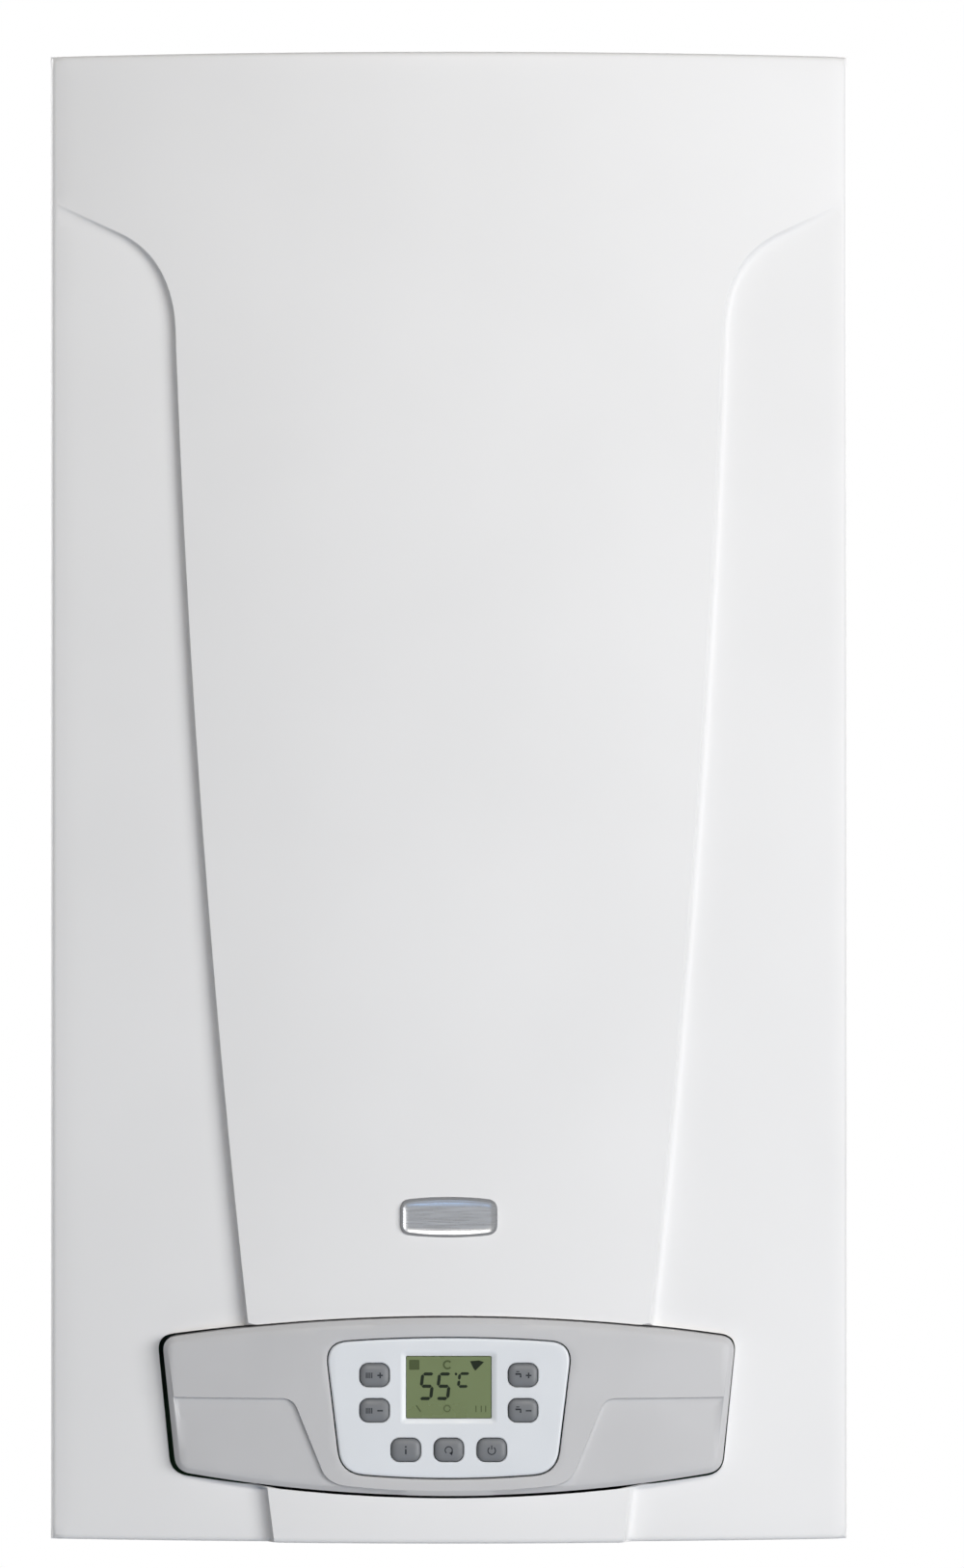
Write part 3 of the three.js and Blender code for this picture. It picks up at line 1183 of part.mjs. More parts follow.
// ---------------------------------------------------------------- pipe connections
const PORTS = [
  { name: "heating_flow_union", x: -2 * PORT_PITCH, radius: WATER_R },
  { name: "hot_water_union", x: -PORT_PITCH, radius: TAP_R },
  { name: "gas_union", x: 0, radius: WATER_R },
  { name: "cold_water_union", x: PORT_PITCH, radius: TAP_R },
  { name: "heating_return_union", x: 2 * PORT_PITCH, radius: WATER_R },
];

// Threaded end with a hexagon above it. The flange seats on the rail, and the neck runs up to its body.
function union({ radius }) {
  const top = RAIL_Z + RAIL_SHEET + FIT + PORT_FLANGE;
  const inner = radius - PORT_WALL;
  const tube = turned(
    [
      [0, PORT_BORE_DEPTH], [inner, PORT_BORE_DEPTH], [inner, 0], [radius - 0.8, 0], [radius, 1],
      [radius, top - PORT_END_Z], [0, top - PORT_END_Z],
    ],
    [0, PORT_Y, PORT_END_Z],
    "z",
  );
  const hexTop = RAIL_Z - FIT;
  const nut = bar(radius * 1.24, 8, [0, PORT_Y, hexTop - 8], "z", 6);
  const flangeRing = bar(radius + 4, PORT_FLANGE, [0, PORT_Y, RAIL_Z + RAIL_SHEET + FIT], "z");
  const clear = bar(inner, PORT_BORE_DEPTH, [0, PORT_Y, PORT_END_Z], "z");
  return join(tube, nut, flangeRing).subtract(clear);
}

// ---------------------------------------------------------------- hydraulic blocks
const GLAND_TOP = BLOCK_TOP + 12;
const PLUNGER_FOOT = BLOCK_TOP - 16;

// A cast block with waisted middle, as its two ports and the port of the plate exchanger ask for.
function castBlock(s, outerX, innerX) {
  const mid = (outerX + innerX) / 2;
  const z = [BLOCK_BOTTOM, BLOCK_TOP];
  const trunk = box([s * innerX, s * outerX], [-(BLOCK_FRONT - 18), -BLOCK_BACK], [z[0] + 8, z[1] - 12]);
  const collars = [2 * PORT_PITCH, PORT_PITCH].map((x) =>
    bar(16, z[1] - z[0], [s * x, PORT_Y, z[0]], "z"),
  );
  const nose = bar(18, 40, [s * (PLATE_HALF - 28), -(BLOCK_FRONT - 40), PLATE_MID_Z], "front");
  const webY = [-(BLOCK_FRONT - 12), -BLOCK_BACK - 6];
  const web = box([s * (mid - 30), s * (mid + 30)], webY, [z[0] + 14, z[1]]);
  return join(trunk, ...collars, nose, web);
}

function flowBlock() {
  const block = castBlock(-1, BLOCK_OUTER, BLOCK_INNER);
  const gland = bar(13, GLAND_TOP - BLOCK_TOP + 4, [DIVERTER_X, PORT_Y, BLOCK_TOP - 4], "z");
  const riserBoss = bar(14, FLOW_FOOT_Z - BLOCK_TOP + 6, [-FLOW_FOOT_X, PORT_Y, BLOCK_TOP - 6], "z");
  const gaugeBoss = bar(7, 20, [GAUGE_X, GAUGE_Y, BLOCK_BOTTOM + 2], "z");
  const body = join(block, gland, riserBoss, gaugeBoss);
  const depth = PLUNGER_FOOT - PLUNGER_TRAVEL - 2;
  return drill(body, PLUNGER_R + RUNNING, GLAND_TOP - depth + 1, [[DIVERTER_X, PORT_Y, depth]], "z");
}

function returnBlock() {
  const block = castBlock(1, BLOCK_OUTER, BLOCK_INNER);
  const pumpBoss = bar(17, 8, [PUMP_X, PORT_Y, BLOCK_TOP - 8], "z");
  const vesselBoss = bar(8, 28, [VESSEL_PIPE_X, VESSEL_PIPE_Y, BLOCK_TOP - 20], "z");
  const fillBoss = bar(8, 24, [FILL_X, FILL_Y, BLOCK_BOTTOM + 2], "z");
  const reliefRoot = BLOCK_OUTER - 14;
  const reliefReach = RELIEF_X - RELIEF_R - FIT - reliefRoot;
  const reliefBoss = bar(8, reliefReach, [reliefRoot, RELIEF_Y, RELIEF_Z], "x");
  return join(block, pumpBoss, vesselBoss, fillBoss, reliefBoss);
}

// The diverter's spindle: a rod with a valve disc's stop collar under the motor.
function diverterPlunger() {
  const top = GLAND_TOP + 18;
  return turned(
    [[0, 0], [PLUNGER_R, 0], [PLUNGER_R, top - PLUNGER_FOOT], [0, top - PLUNGER_FOOT]],
    [DIVERTER_X, PORT_Y, PLUNGER_FOOT],
    "z",
  );
}

function diverterMotor() {
  const skirtFoot = BLOCK_TOP + FIT;
  const bodyFoot = GLAND_TOP + FIT;
  const skirt = sleeve(13 + FIT, 17, bodyFoot - skirtFoot + 2, [DIVERTER_X, PORT_Y, skirtFoot], "z");
  const mid = bodyFoot + DIVERTER_HEIGHT / 2;
  const front = -PORT_Y + 28;
  const housing = fromFront(
    softBox(DIVERTER_X, mid, DIVERTER_WIDTH, DIVERTER_HEIGHT, 6), -PORT_Y - 32, front,
  );
  const cap = fromFront(
    softBox(DIVERTER_X, mid + 4, DIVERTER_WIDTH - 18, DIVERTER_HEIGHT - 24, 4), front, front + 8,
  );
  const whole = join(skirt, housing, cap);
  return drill(whole, PLUNGER_R + RUNNING, 21, [[DIVERTER_X, PORT_Y, bodyFoot - 1]], "z");
}

// Stack of pressed plates between two thicker covers, edges stepped in and out.
function plateExchanger() {
  const back = BLOCK_FRONT + FIT;
  const cover = 2;
  const front = back + 2 * cover + PLATES * PLATE_PITCH;
  const outline = (grow) =>
    softBox(0, PLATE_MID_Z + 6, 2 * (PLATE_HALF + grow), PLATE_HEIGHT + 2 * grow, 14 + grow);
  const core = fromFront(outline(-1.6), back, front);
  const covers = [fromFront(outline(0), back, back + cover), fromFront(outline(0), front - cover, front)];
  const leaves = Array.from({ length: PLATES - 1 }, (_, i) => {
    const depth = back + cover + (i + 1) * PLATE_PITCH;
    return fromFront(outline(0), depth - 0.5, depth + 0.5);
  });
  return join(core, ...covers, ...leaves);
}

// ---------------------------------------------------------------- pump
const PUMP_BACK = -PORT_Y - PUMP_DEPTH / 2;
const PUMP_FRONT = PUMP_BACK + PUMP_DEPTH;

function pumpCasing() {
  const volute = turned(
    [[0, 0], [PUMP_R - 12, 0], [PUMP_R - 4, 4], [PUMP_R, 12], [PUMP_R, PUMP_DEPTH], [0, PUMP_DEPTH]],
    [PUMP_X, -PUMP_BACK, PUMP_Z],
    "front",
    WIDE_SIDES,
  );
  const foot = bar(17, PUMP_Z - BLOCK_TOP - FIT - 20, [PUMP_X, PORT_Y, BLOCK_TOP + FIT], "z");
  const separator = bar(18, SEPARATOR_TOP - PUMP_Z - 10, [SEPARATOR_X, PORT_Y, PUMP_Z + 10], "z");
  const discharge = bar(13, RETURN_FOOT_Z - PUMP_Z, [RETURN_FOOT_X, PORT_Y, PUMP_Z], "z");
  const lugs = [0.25, 0.75, 1.25, 1.75].map((turn) => {
    const angle = turn * Math.PI;
    const [x, z] = [PUMP_X + (PUMP_R + 1) * Math.cos(angle), PUMP_Z + (PUMP_R + 1) * Math.sin(angle)];
    return bar(6, 10, [x, -PUMP_FRONT + 10, z], "front");
  });
  const cavity = bar(ROTOR_R + 3, PUMP_DEPTH - 8, [PUMP_X, -(PUMP_BACK + 9), PUMP_Z], "front", WIDE_SIDES);
  return join(volute, foot, separator, discharge, ...lugs).subtract(cavity);
}

function pumpRotor() {
  return turned(
    [[0, 0], [ROTOR_R - 10, 0], [ROTOR_R, 8], [ROTOR_R, 18], [ROTOR_SHAFT_R + 4, 22], [ROTOR_SHAFT_R, 24],
      [ROTOR_SHAFT_R, PUMP_DEPTH + 12], [0, PUMP_DEPTH + 12]],
    [PUMP_X, -(PUMP_BACK + 11), PUMP_Z],
    "front",
    WIDE_SIDES,
  );
}

function pumpMotor() {
  const start = [PUMP_X, -(PUMP_FRONT + FIT), PUMP_Z];
  const r = PUMP_R;
  const can = turned(
    [
      [ROTOR_SHAFT_R + RUNNING, 0], [r + 4, 0], [r + 4, 5], [r - 2, 6], [r - 2, PUMP_MOTOR_LENGTH - 10],
      [r - 8, PUMP_MOTOR_LENGTH - 3], [14, PUMP_MOTOR_LENGTH], [12, PUMP_MOTOR_LENGTH + 3],
      [0, PUMP_MOTOR_LENGTH + 3], [0, 30], [ROTOR_SHAFT_R + RUNNING, 30],
    ],
    start,
    "front",
    WIDE_SIDES,
  );
  const terminals = fromFront(
    softBox(PUMP_X - r + 4, PUMP_Z + 22, 26, 44, 4),
    PUMP_FRONT + FIT + 14,
    PUMP_FRONT + FIT + 60,
  );
  const ribs = Array.from({ length: 10 }, (_, i) => {
    const rib = new THREE.BoxGeometry(4, PUMP_MOTOR_LENGTH - 24, 2.4);
    const angle = -Math.PI * 0.55 + (Math.PI * 0.9 * i) / 9;
    rib.translate(r - 1.5, -(PUMP_MOTOR_LENGTH / 2 + 2), 0).rotateY(-angle);
    return solidOf(rib.translate(...start));
  });
  return join(can, terminals, ...ribs);
}

const airVent = () =>
  turned(
    [[0, 0], [9, 0], [9, 6], [13, 8], [13, 26], [10, 29], [4, 29], [4, 34], [0, 34]],
    [SEPARATOR_X, PORT_Y, SEPARATOR_TOP - 1],
    "z",
  );

// ---------------------------------------------------------------- risers
// Copper riser between the exchanger's tube end and the water side. s picks the side.
function riser(s, footX, footZ) {
  const tubeY = TUBE_YS[0];
  const start = HEARTH_HALF + 10 + FIT;
  return pipe(
    [
      [s * start, tubeY, TUBE_Z],
      [s * (RISER_X + 2), tubeY, TUBE_Z],
      [s * RISER_X, RISER_Y, TUBE_Z - 60],
      [s * RISER_X, RISER_Y, footZ + 46],
      [s * footX, PORT_Y, footZ + 30],
      [s * footX, PORT_Y, footZ + FIT],
    ],
    14,
    PIPE_R - 1,
  );
}

// ---------------------------------------------------------------- relief valve, filling tap and gauge
function reliefValve() {
  const body = turned(
    [
      [0, 0], [RELIEF_R, 0], [RELIEF_R, RELIEF_LENGTH - 3], [RELIEF_R - 3, RELIEF_LENGTH],
      [5, RELIEF_LENGTH], [5, RELIEF_LENGTH + 4], [0, RELIEF_LENGTH + 4],
    ],
    [RELIEF_X, RELIEF_Y + 12, RELIEF_Z],
    "front",
  );
  const outlet = bar(8, 30, [RELIEF_X, RELIEF_Y - 4, RELIEF_Z - 30], "z");
  return join(body, outlet);
}

function reliefKnob() {
  const back = -(RELIEF_Y + 12) + RELIEF_LENGTH + FIT;
  return lobedKnob(RELIEF_KNOB_R, 14, 5 + RUNNING, 4.5, 6, [RELIEF_X, -back, RELIEF_Z], "front");
}

// Round cap with finger scallops and a blind socket for its spindle.
function lobedKnob(radius, length, socketR, socketDepth, scallops, start, axis) {
  const cap = turned(
    [[socketR, 0], [radius, 0], [radius, length - 2], [radius - 2, length], [0, length], [0, socketDepth],
      [socketR, socketDepth]],
    start,
    axis,
    WIDE_SIDES,
  );
  const along = AXES[axis];
  const across = axis === "front" ? AXES.z : AXES.x;
  const sideways = new THREE.Vector3().crossVectors(along, across);
  let knob = cap;
  for (let i = 0; i < scallops; i++) {
    const angle = (2 * Math.PI * i) / scallops;
    const reach = radius * 1.12;
    const centre = new THREE.Vector3(...start)
      .addScaledVector(across, reach * Math.cos(angle))
      .addScaledVector(sideways, reach * Math.sin(angle))
      .addScaledVector(along, 2);
    knob = knob.subtract(bar(radius * 0.24, length, centre.toArray(), axis, 8));
  }
  return knob;
}

// The tap's spindle is cast on the return block's boss, and the knob turns on it.
const fillSpindle = () => bar(4, BLOCK_BOTTOM - FILL_KNOB_Z + 7, [FILL_X, FILL_Y, FILL_KNOB_Z - 3], "z");
const fillKnob = () =>
  lobedKnob(FILL_KNOB_R, 20, 4 + RUNNING, 4, 6, [FILL_X, FILL_Y, FILL_KNOB_Z], "down");

// Gauge case open downwards, with its stem up to the flow block.
function pressureGauge() {
  const depth = 14;
  const caseTop = GAUGE_BOTTOM + depth + 4;
  const shell = turned(
    [
      [GAUGE_R, 0], [GAUGE_R, caseTop - GAUGE_BOTTOM - 2], [GAUGE_R - 3, caseTop - GAUGE_BOTTOM],
      [0, caseTop - GAUGE_BOTTOM], [0, 8], [GAUGE_R - 2, 8], [GAUGE_R - 2, 0],
    ],
    [GAUGE_X, GAUGE_Y, GAUGE_BOTTOM],
    "z",
    28,
  );
  const stem = bar(4, BLOCK_BOTTOM + 2 - FIT - caseTop + 1, [GAUGE_X, GAUGE_Y, caseTop - 1], "z");
  const pivot = bar(1, 3, [GAUGE_X, GAUGE_Y, GAUGE_BOTTOM + 5.5], "z");
  return join(shell, stem, pivot);
}

function gaugeNeedle() {
  const z = [GAUGE_BOTTOM + 5.6, GAUGE_BOTTOM + 6.6];
  const hub = bar(2.6, z[1] - z[0], [GAUGE_X, GAUGE_Y, z[0]], "z");
  const pointer = fromAbove(
    polygon([
      [GAUGE_X - 1.4, GAUGE_Y - 5], [GAUGE_X + 1.4, GAUGE_Y - 5],
      [GAUGE_X + 0.3, GAUGE_Y + GAUGE_R - 5], [GAUGE_X - 0.3, GAUGE_Y + GAUGE_R - 5],
    ]),
    z[0],
    z[1],
  );
  return drill(join(hub, pointer), 1 + FIT, 4, [[GAUGE_X, GAUGE_Y, z[0] - 1]], "z");
}

const gaugeLens = () => bar(GAUGE_R - 2 - FIT, 2, [GAUGE_X, GAUGE_Y, GAUGE_BOTTOM + 1], "z", WIDE_SIDES);

// ---------------------------------------------------------------- gas side
const VALVE_MID_Y = -(VALVE_BACK + VALVE_FRONT) / 2;

function gasValve() {
  const z = [VALVE_BOTTOM + 8, VALVE_TOP - 8];
  const body = box([-VALVE_HALF, VALVE_HALF], [-VALVE_FRONT, -VALVE_BACK], z);
  const inlet = box([-20, 20], [PORT_Y - 20, PORT_Y + 20], [VALVE_BOTTOM, z[0] + 1]);
  const outlet = bar(15, 10, [0, -VALVE_FRONT + 1, GAS_OUT_Z], "front");
  const coils = both((s) => bar(13, 30, [s * 18, VALVE_MID_Y, z[1] - 1], "z"));
  const regulator = bar(9, 14, [-VALVE_HALF + 12, -VALVE_FRONT + 1, VALVE_BOTTOM + 22], "front");
  const ignitionY = [-VALVE_FRONT + 8, -VALVE_BACK - 8];
  const ignitionBox = box([VALVE_HALF - 1, VALVE_HALF + IGNITION_BOX], ignitionY, [z[0] + 4, z[1] - 6]);
  return join(body, inlet, outlet, ...coils, regulator, ignitionBox);
}

// Upright pipe on top of the gas connection, brazed to it.
const gasInletPipe = () =>
  bar(GAS_PIPE_R, VALVE_BOTTOM - FIT - BLOCK_BOTTOM + 2, [0, PORT_Y, BLOCK_BOTTOM - 2], "z");

const gasFeedPipe = () =>
  pipe(
    [
      [0, -VALVE_FRONT - 9 - FIT, GAS_OUT_Z],
      [0, GAS_RISER_Y, GAS_OUT_Z],
      [0, GAS_RISER_Y, RAIL_TUBE_Z - GAS_RAIL_R - FIT],
    ],
    22,
    GAS_PIPE_R - 1,
  );

// ---------------------------------------------------------------- control box
const FASCIA_BACK = BOX_FRONT + FIT;

// Box cast in one with its hinge pins and the mains gland underneath.
function controlBox() {
  const z = [BOX_BOTTOM, BOX_TOP];
  const w = BOX_WALL;
  const shell = box([-BOX_HALF, BOX_HALF], [-BOX_FRONT, -BOX_BACK], z).subtract(
    box([-BOX_HALF + w, BOX_HALF - w], [-BOX_FRONT - 1, -BOX_BACK - w], [z[0] + w, z[1] - w]),
  );
  const pinLength = ARM_X + RAIL_SHEET + 1 - BOX_HALF;
  const pins = [
    bar(HINGE_PIN_R, pinLength + 2, [BOX_HALF - 2, HINGE_Y, HINGE_Z], "x"),
    bar(HINGE_PIN_R, pinLength + 2, [-BOX_HALF - pinLength, HINGE_Y, HINGE_Z], "x"),
  ];
  const shoulders = [
    bar(7, ARM_X - BOX_HALF - FIT, [BOX_HALF - 1, HINGE_Y, HINGE_Z], "x"),
    bar(7, ARM_X - BOX_HALF - FIT, [-ARM_X + FIT + 1, HINGE_Y, HINGE_Z], "x"),
  ];
  const post = (x, height) => bar(3.5, BOX_POST + 1, [x, -BOX_BACK - w + 1, height], "front");
  const posts = both((s) => post(s * (BOX_HALF - 18), z[0] + 16)).concat(
    both((s) => post(s * (BOX_HALF - 18), z[1] - 16)),
  );
  const gland = sleeve(5, 9, 10, [GLAND_X, -(BOX_BACK + 14), z[0] + 1], "down", 16);
  const whole = join(shell, ...pins, ...shoulders, ...posts, gland);
  return drill(whole, 5, 16, [[GLAND_X, -(BOX_BACK + 14), z[0] - 11]], "z");
}

// Crowned moulding that fills the front panel's opening, hollow behind, with a seat for the key plate.
function fascia() {
  const front = PANEL_MIDDLE + FASCIA_PROUD;
  const outside = bevelledCrown();
  const inside = fromFront(barrel(FASCIA, -FASCIA_WALL), FASCIA_BACK - 1, front)
    .intersect(crownedBlock(FASCIA_PROUD - FASCIA_WALL - CHEEK_STEP));
  const cheeks = both((s) => cheek(s).subtract(crownedBlock(FASCIA_PROUD - CHEEK_STEP)));
  let moulding = outside.subtract(inside);
  cheeks.forEach((cut) => (moulding = moulding.subtract(cut)));
  const seat = fromFront(barrel(BEZEL, BEZEL_GAP), FASCIA_BACK - 1, front + 3);
  const shelf = shelfRing();
  return join(moulding.subtract(seat), shelf);
}

// The fascia's crowned face with a step down all round its edge.
function bevelledCrown() {
  const front = PANEL_MIDDLE + 2 * FASCIA_PROUD;
  const step = (grow, raise) =>
    fromFront(barrel(FASCIA, grow), FASCIA_BACK, front).intersect(crownedBlock(raise));
  return join(step(0, FASCIA_PROUD - FASCIA_BEVEL / 2), step(-FASCIA_BEVEL, FASCIA_PROUD));
}

// Outline of one set-back cheek: level top, then a slanting edge down to the fascia's foot.
function cheek(s) {
  const outer = s * (FASCIA_HALF_TOP + 2);
  const foot = FASCIA_MID_Z - FASCIA_SIDE_HEIGHT / 2 - FASCIA_BOW - 2;
  const slant = (CHEEK_X - CHEEK_FOOT_X) / (CHEEK_Z - foot);
  const shape = new THREE.Shape();
  shape.moveTo(outer, CHEEK_Z);
  shape.lineTo(s * (CHEEK_X + 4), CHEEK_Z);
  shape.quadraticCurveTo(s * CHEEK_X, CHEEK_Z, s * (CHEEK_X - 6 * slant - 1), CHEEK_Z - 7);
  shape.lineTo(s * CHEEK_FOOT_X, foot + 6);
  shape.lineTo(s * (CHEEK_FOOT_X - 8), foot);
  shape.lineTo(outer, foot);
  return fromFront(shape, FASCIA_BACK, PANEL_MIDDLE + FASCIA_PROUD + 1);
}

const BEZEL_FACE = PANEL_MIDDLE + FASCIA_PROUD - 2.2;
const BEZEL_BACK = BEZEL_FACE - BEZEL_DEPTH;

// Ledge behind the key plate, inside the fascia.
function shelfRing() {
  const ring = fromFront(barrel(BEZEL, BEZEL_GAP + 2), BEZEL_BACK - FIT - 2, BEZEL_BACK - FIT);
  const hole = fromFront(barrel(BEZEL, -3), BEZEL_BACK - 6, BEZEL_BACK + 2);
  const skirt = fromFront(barrel(BEZEL, BEZEL_GAP + 2), BEZEL_BACK - FIT - 2, BEZEL_FACE - 1)
    .subtract(fromFront(barrel(BEZEL, BEZEL_GAP), BEZEL_BACK - 8, BEZEL_FACE + 2));
  return join(ring.subtract(hole), skirt);
}

const KEYS = [
  ...[-1, 1].flatMap((s) => SIDE_KEY_Z.map((z) => [s * SIDE_KEY_X, z])),
  ...[-1, 0, 1].map((n) => [n * FOOT_KEY_PITCH, FOOT_KEY_Z]),
];

// White key plate with the display window and one hole for each key.
function keyPlate() {
  let plate = fromFront(barrel(BEZEL), BEZEL_BACK, BEZEL_FACE, 0.6);
  const windowCut = (grow, back, front) =>
    fromFront(
      softBox(0, WINDOW_Z, 2 * (WINDOW_HALF + grow), WINDOW_HEIGHT + 2 * grow, 0.8 + grow),
      back,
      front,
    );
  plate = plate.subtract(windowCut(0, BEZEL_BACK - 1, BEZEL_FACE + 1));
  plate = plate.subtract(windowCut(WINDOW_FRAME / 2, BEZEL_FACE - 0.8, BEZEL_FACE + 1));
  for (const [x, z] of KEYS) {
    const hole = softBox(x, z, KEY_WIDTH + 2 * KEY_GAP, KEY_HEIGHT + 2 * KEY_GAP, KEY_CORNER + KEY_GAP);
    plate = plate.subtract(fromFront(hole, BEZEL_BACK - 1, BEZEL_FACE + 1));
  }
  return plate;
}

// Cap that stands through its hole, on a wider skirt behind the plate.
function key() {
  const cap = fromFront(
    softBox(0, 0, KEY_WIDTH, KEY_HEIGHT, KEY_CORNER),
    BEZEL_BACK - FIT - KEY_SKIRT,
    BEZEL_FACE + KEY_PROUD,
    0.9,
  );
  const skirt = fromFront(
    softBox(0, 0, KEY_WIDTH + 3, KEY_HEIGHT + 3, KEY_CORNER + 1),
    BEZEL_BACK - FIT - KEY_SKIRT,
    BEZEL_BACK - FIT,
  );
  return join(cap, skirt);
}

function displayLens() {
  const back = BEZEL_BACK - FIT - 1;
  const pane = fromFront(
    softBox(0, WINDOW_Z, 2 * WINDOW_HALF - 2 * FIT, WINDOW_HEIGHT - 2 * FIT, 0.6),
    back,
    back + 1 + FIT + LENS_DEPTH,
  );
  const edge = fromFront(softBox(0, WINDOW_Z, 2 * WINDOW_HALF + 4, WINDOW_HEIGHT + 3, 1.4), back, back + 1);
  return join(pane, edge);
}

// Board behind the keys with the display module and a switch dome under each key.
function displayBoard() {
  const boardFront = BEZEL_BACK - FIT - KEY_SKIRT - KEY_TRAVEL - 2.2;
  const board = fromFront(softBox(0, BEZEL_MID_Z, 2 * BEZEL_HALF_BOTTOM, BEZEL_SIDE_HEIGHT - 12, 3),
    boardFront - BOARD, boardFront);
  const module = fromFront(softBox(0, WINDOW_Z, 2 * WINDOW_HALF + 4, WINDOW_HEIGHT + 3, 1),
    boardFront - 0.5, BEZEL_BACK - FIT - 1 - FIT);
  const domes = KEYS.map(([x, z]) =>
    box([x - 2, x + 2], [-boardFront - 2, -boardFront + 0.2], [z - 2, z + 2]),
  );
  const rest = BOX_BOARD_FACE + FIT;
  const legs = both((s) =>
    bar(3, boardFront - BOARD - rest + 0.5, [s * 40, -rest, BEZEL_MID_Z - 14], "front"),
  );
  return join(board, module, ...domes, ...legs);
}

// Main board on the box's posts, with its tall components.
function mainBoard() {
  const back = BOX_BOARD_FACE - BOARD;
  const half = BOX_HALF - 8;
  const board = box([-half, half], [-BOX_BOARD_FACE, -back], [BOX_BOTTOM + 8, BOX_TOP - 8]);
  const depth = (height) => [-BOX_BOARD_FACE - height, -BOX_BOARD_FACE + 0.5];
  const transformer = box([17 - half, 53 - half], depth(24), [BOX_TOP - 62, BOX_TOP - 24]);
  const relays = [73 - half, 93 - half, half - 93].map((x) =>
    box([x - 8, x + 8], depth(15), [BOX_TOP - 40, BOX_TOP - 18]),
  );
  const terminals = box([half - 73, half - 11], depth(12), [BOX_BOTTOM + 16, BOX_BOTTOM + 28]);
  const capacitor = bar(9, 22, [half - 45, -BOX_BOARD_FACE + 0.5, BOX_TOP - 44], "front");
  return join(board, transformer, ...relays, terminals, capacitor);
}

// ---------------------------------------------------------------- assembly
function assembly(...children) {
  const group = new THREE.Group();
  return group.add(...children);
}

function placed(mesh, x, y, z) {
  mesh.position.set(x, y, z);
  return mesh;
}

const casing = assembly(
  piece("front_panel", frontPanel(), enamel),
  piece("badge", badge(), satinMetal),
  piece("left_side_panel", sidePanel(-1), enamel),
  piece("right_side_panel", sidePanel(1), enamel),
);

const chassis = assembly(
  piece("wall_bracket", wallBracket(), galvanised),
  piece("back_frame", backFrame(), galvanised),
  piece("pipe_rail", pipeRail(), galvanised),
);

const chamber = assembly(
  piece("chamber_box", chamberBox(), galvanised),
  piece("chamber_cover", chamberCover(), galvanised),
  piece("sight_glass", sightGlass(), glass),
  piece("flue_collar", flueCollar(), castAluminium),
);

const fan = assembly(
  piece("fan_housing", fanHousing(), aluminised),
  piece("fan_impeller", fanImpeller(), aluminised),
  piece("fan_motor", fanMotor(), blackPlastic),
  piece("flue_hood", flueHood(), aluminised),
  piece("air_pressure_switch", airPressureSwitch(), blackPlastic),
);

const heatSource = assembly(
  piece("primary_exchanger", primaryExchanger(), copper),
  piece("combustion_box", combustionBox(), fibre),
  piece("burner", burner(), stainless),
  piece("gas_manifold", gasManifold(), castAluminium),
  placed(piece("ignition_electrode", electrode(), ceramic), -ELECTRODE_X, 0, 0),
  placed(piece("flame_probe", electrode(), ceramic), ELECTRODE_X, 0, 0),
);

const unions = PORTS.map((port) => {
  const end = union(port);
  const solid = port.x === 0 ? join(end, gasInletPipe()) : end;
  return placed(piece(port.name, solid, brass), port.x, 0, 0);
});

const waterSide = assembly(
  ...unions,
  piece("flow_block", flowBlock(), brass),
  piece("return_block", join(returnBlock(), fillSpindle()), brass),
  piece("diverter_plunger", diverterPlunger(), stainless),
  piece("diverter_motor", diverterMotor(), blackPlastic),
  piece("plate_exchanger", plateExchanger(), stainless),
  piece("pump_casing", join(pumpCasing(), airVent()), blackPlastic),
  piece("pump_rotor", pumpRotor(), stainless),
  piece("pump_motor", pumpMotor(), castAluminium),
  piece("expansion_vessel", expansionVessel(), vesselPaint),
  piece("vessel_pipe", vesselPipe(), copper),
  piece("flow_riser", riser(-1, FLOW_FOOT_X, FLOW_FOOT_Z), copper),
  piece("return_riser", riser(1, RETURN_FOOT_X, RETURN_FOOT_Z), copper),
  piece("relief_valve", reliefValve(), brass),
  piece("relief_knob", reliefKnob(), redPlastic),
  piece("filling_knob", fillKnob(), bluePlastic),
  piece("pressure_gauge", pressureGauge(), blackPlastic),
  piece("gauge_needle", gaugeNeedle(), redPlastic),
  piece("gauge_lens", gaugeLens(), glass),
);

const gasSide = assembly(
  piece("gas_valve", gasValve(), castAluminium),
  piece("gas_feed_pipe", gasFeedPipe(), copper),
);

const keys = KEYS.map(([x, z], i) => placed(piece(`key_${i + 1}`, key(), keyRubber), x, 0, z));

const controls = assembly(
  piece("control_box", controlBox(), blackPlastic),
  piece("fascia", fascia(), greyPlastic),
  piece("key_plate", keyPlate(), whitePlastic),
  piece("display_lens", displayLens(), clearPlastic),
  piece("display_board", displayBoard(), boardGreen),
  piece("main_board", mainBoard(), boardGreen),
  ...keys,
);

const boiler = assembly(casing, chassis, chamber, fan, heatSource, waterSide, gasSide, controls);
boiler.name = "combi_boiler";
boiler.position.z = -HANG_Z;

export default boiler;
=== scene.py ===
"""Wall-hung combi boiler, dressed over its CAD frame.

In the frame of the CAD model the wall is y = 0, the front looks towards -Y, and the casing's bottom
edge lies HANG below the origin, which is the wall hanger. Among the sizes below, heights such as
those that end in Z are above that edge, and depths are from the wall.
"""
import math

import bpy
import numpy as np
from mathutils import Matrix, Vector
from mathutils.geometry import delaunay_2d_cdt

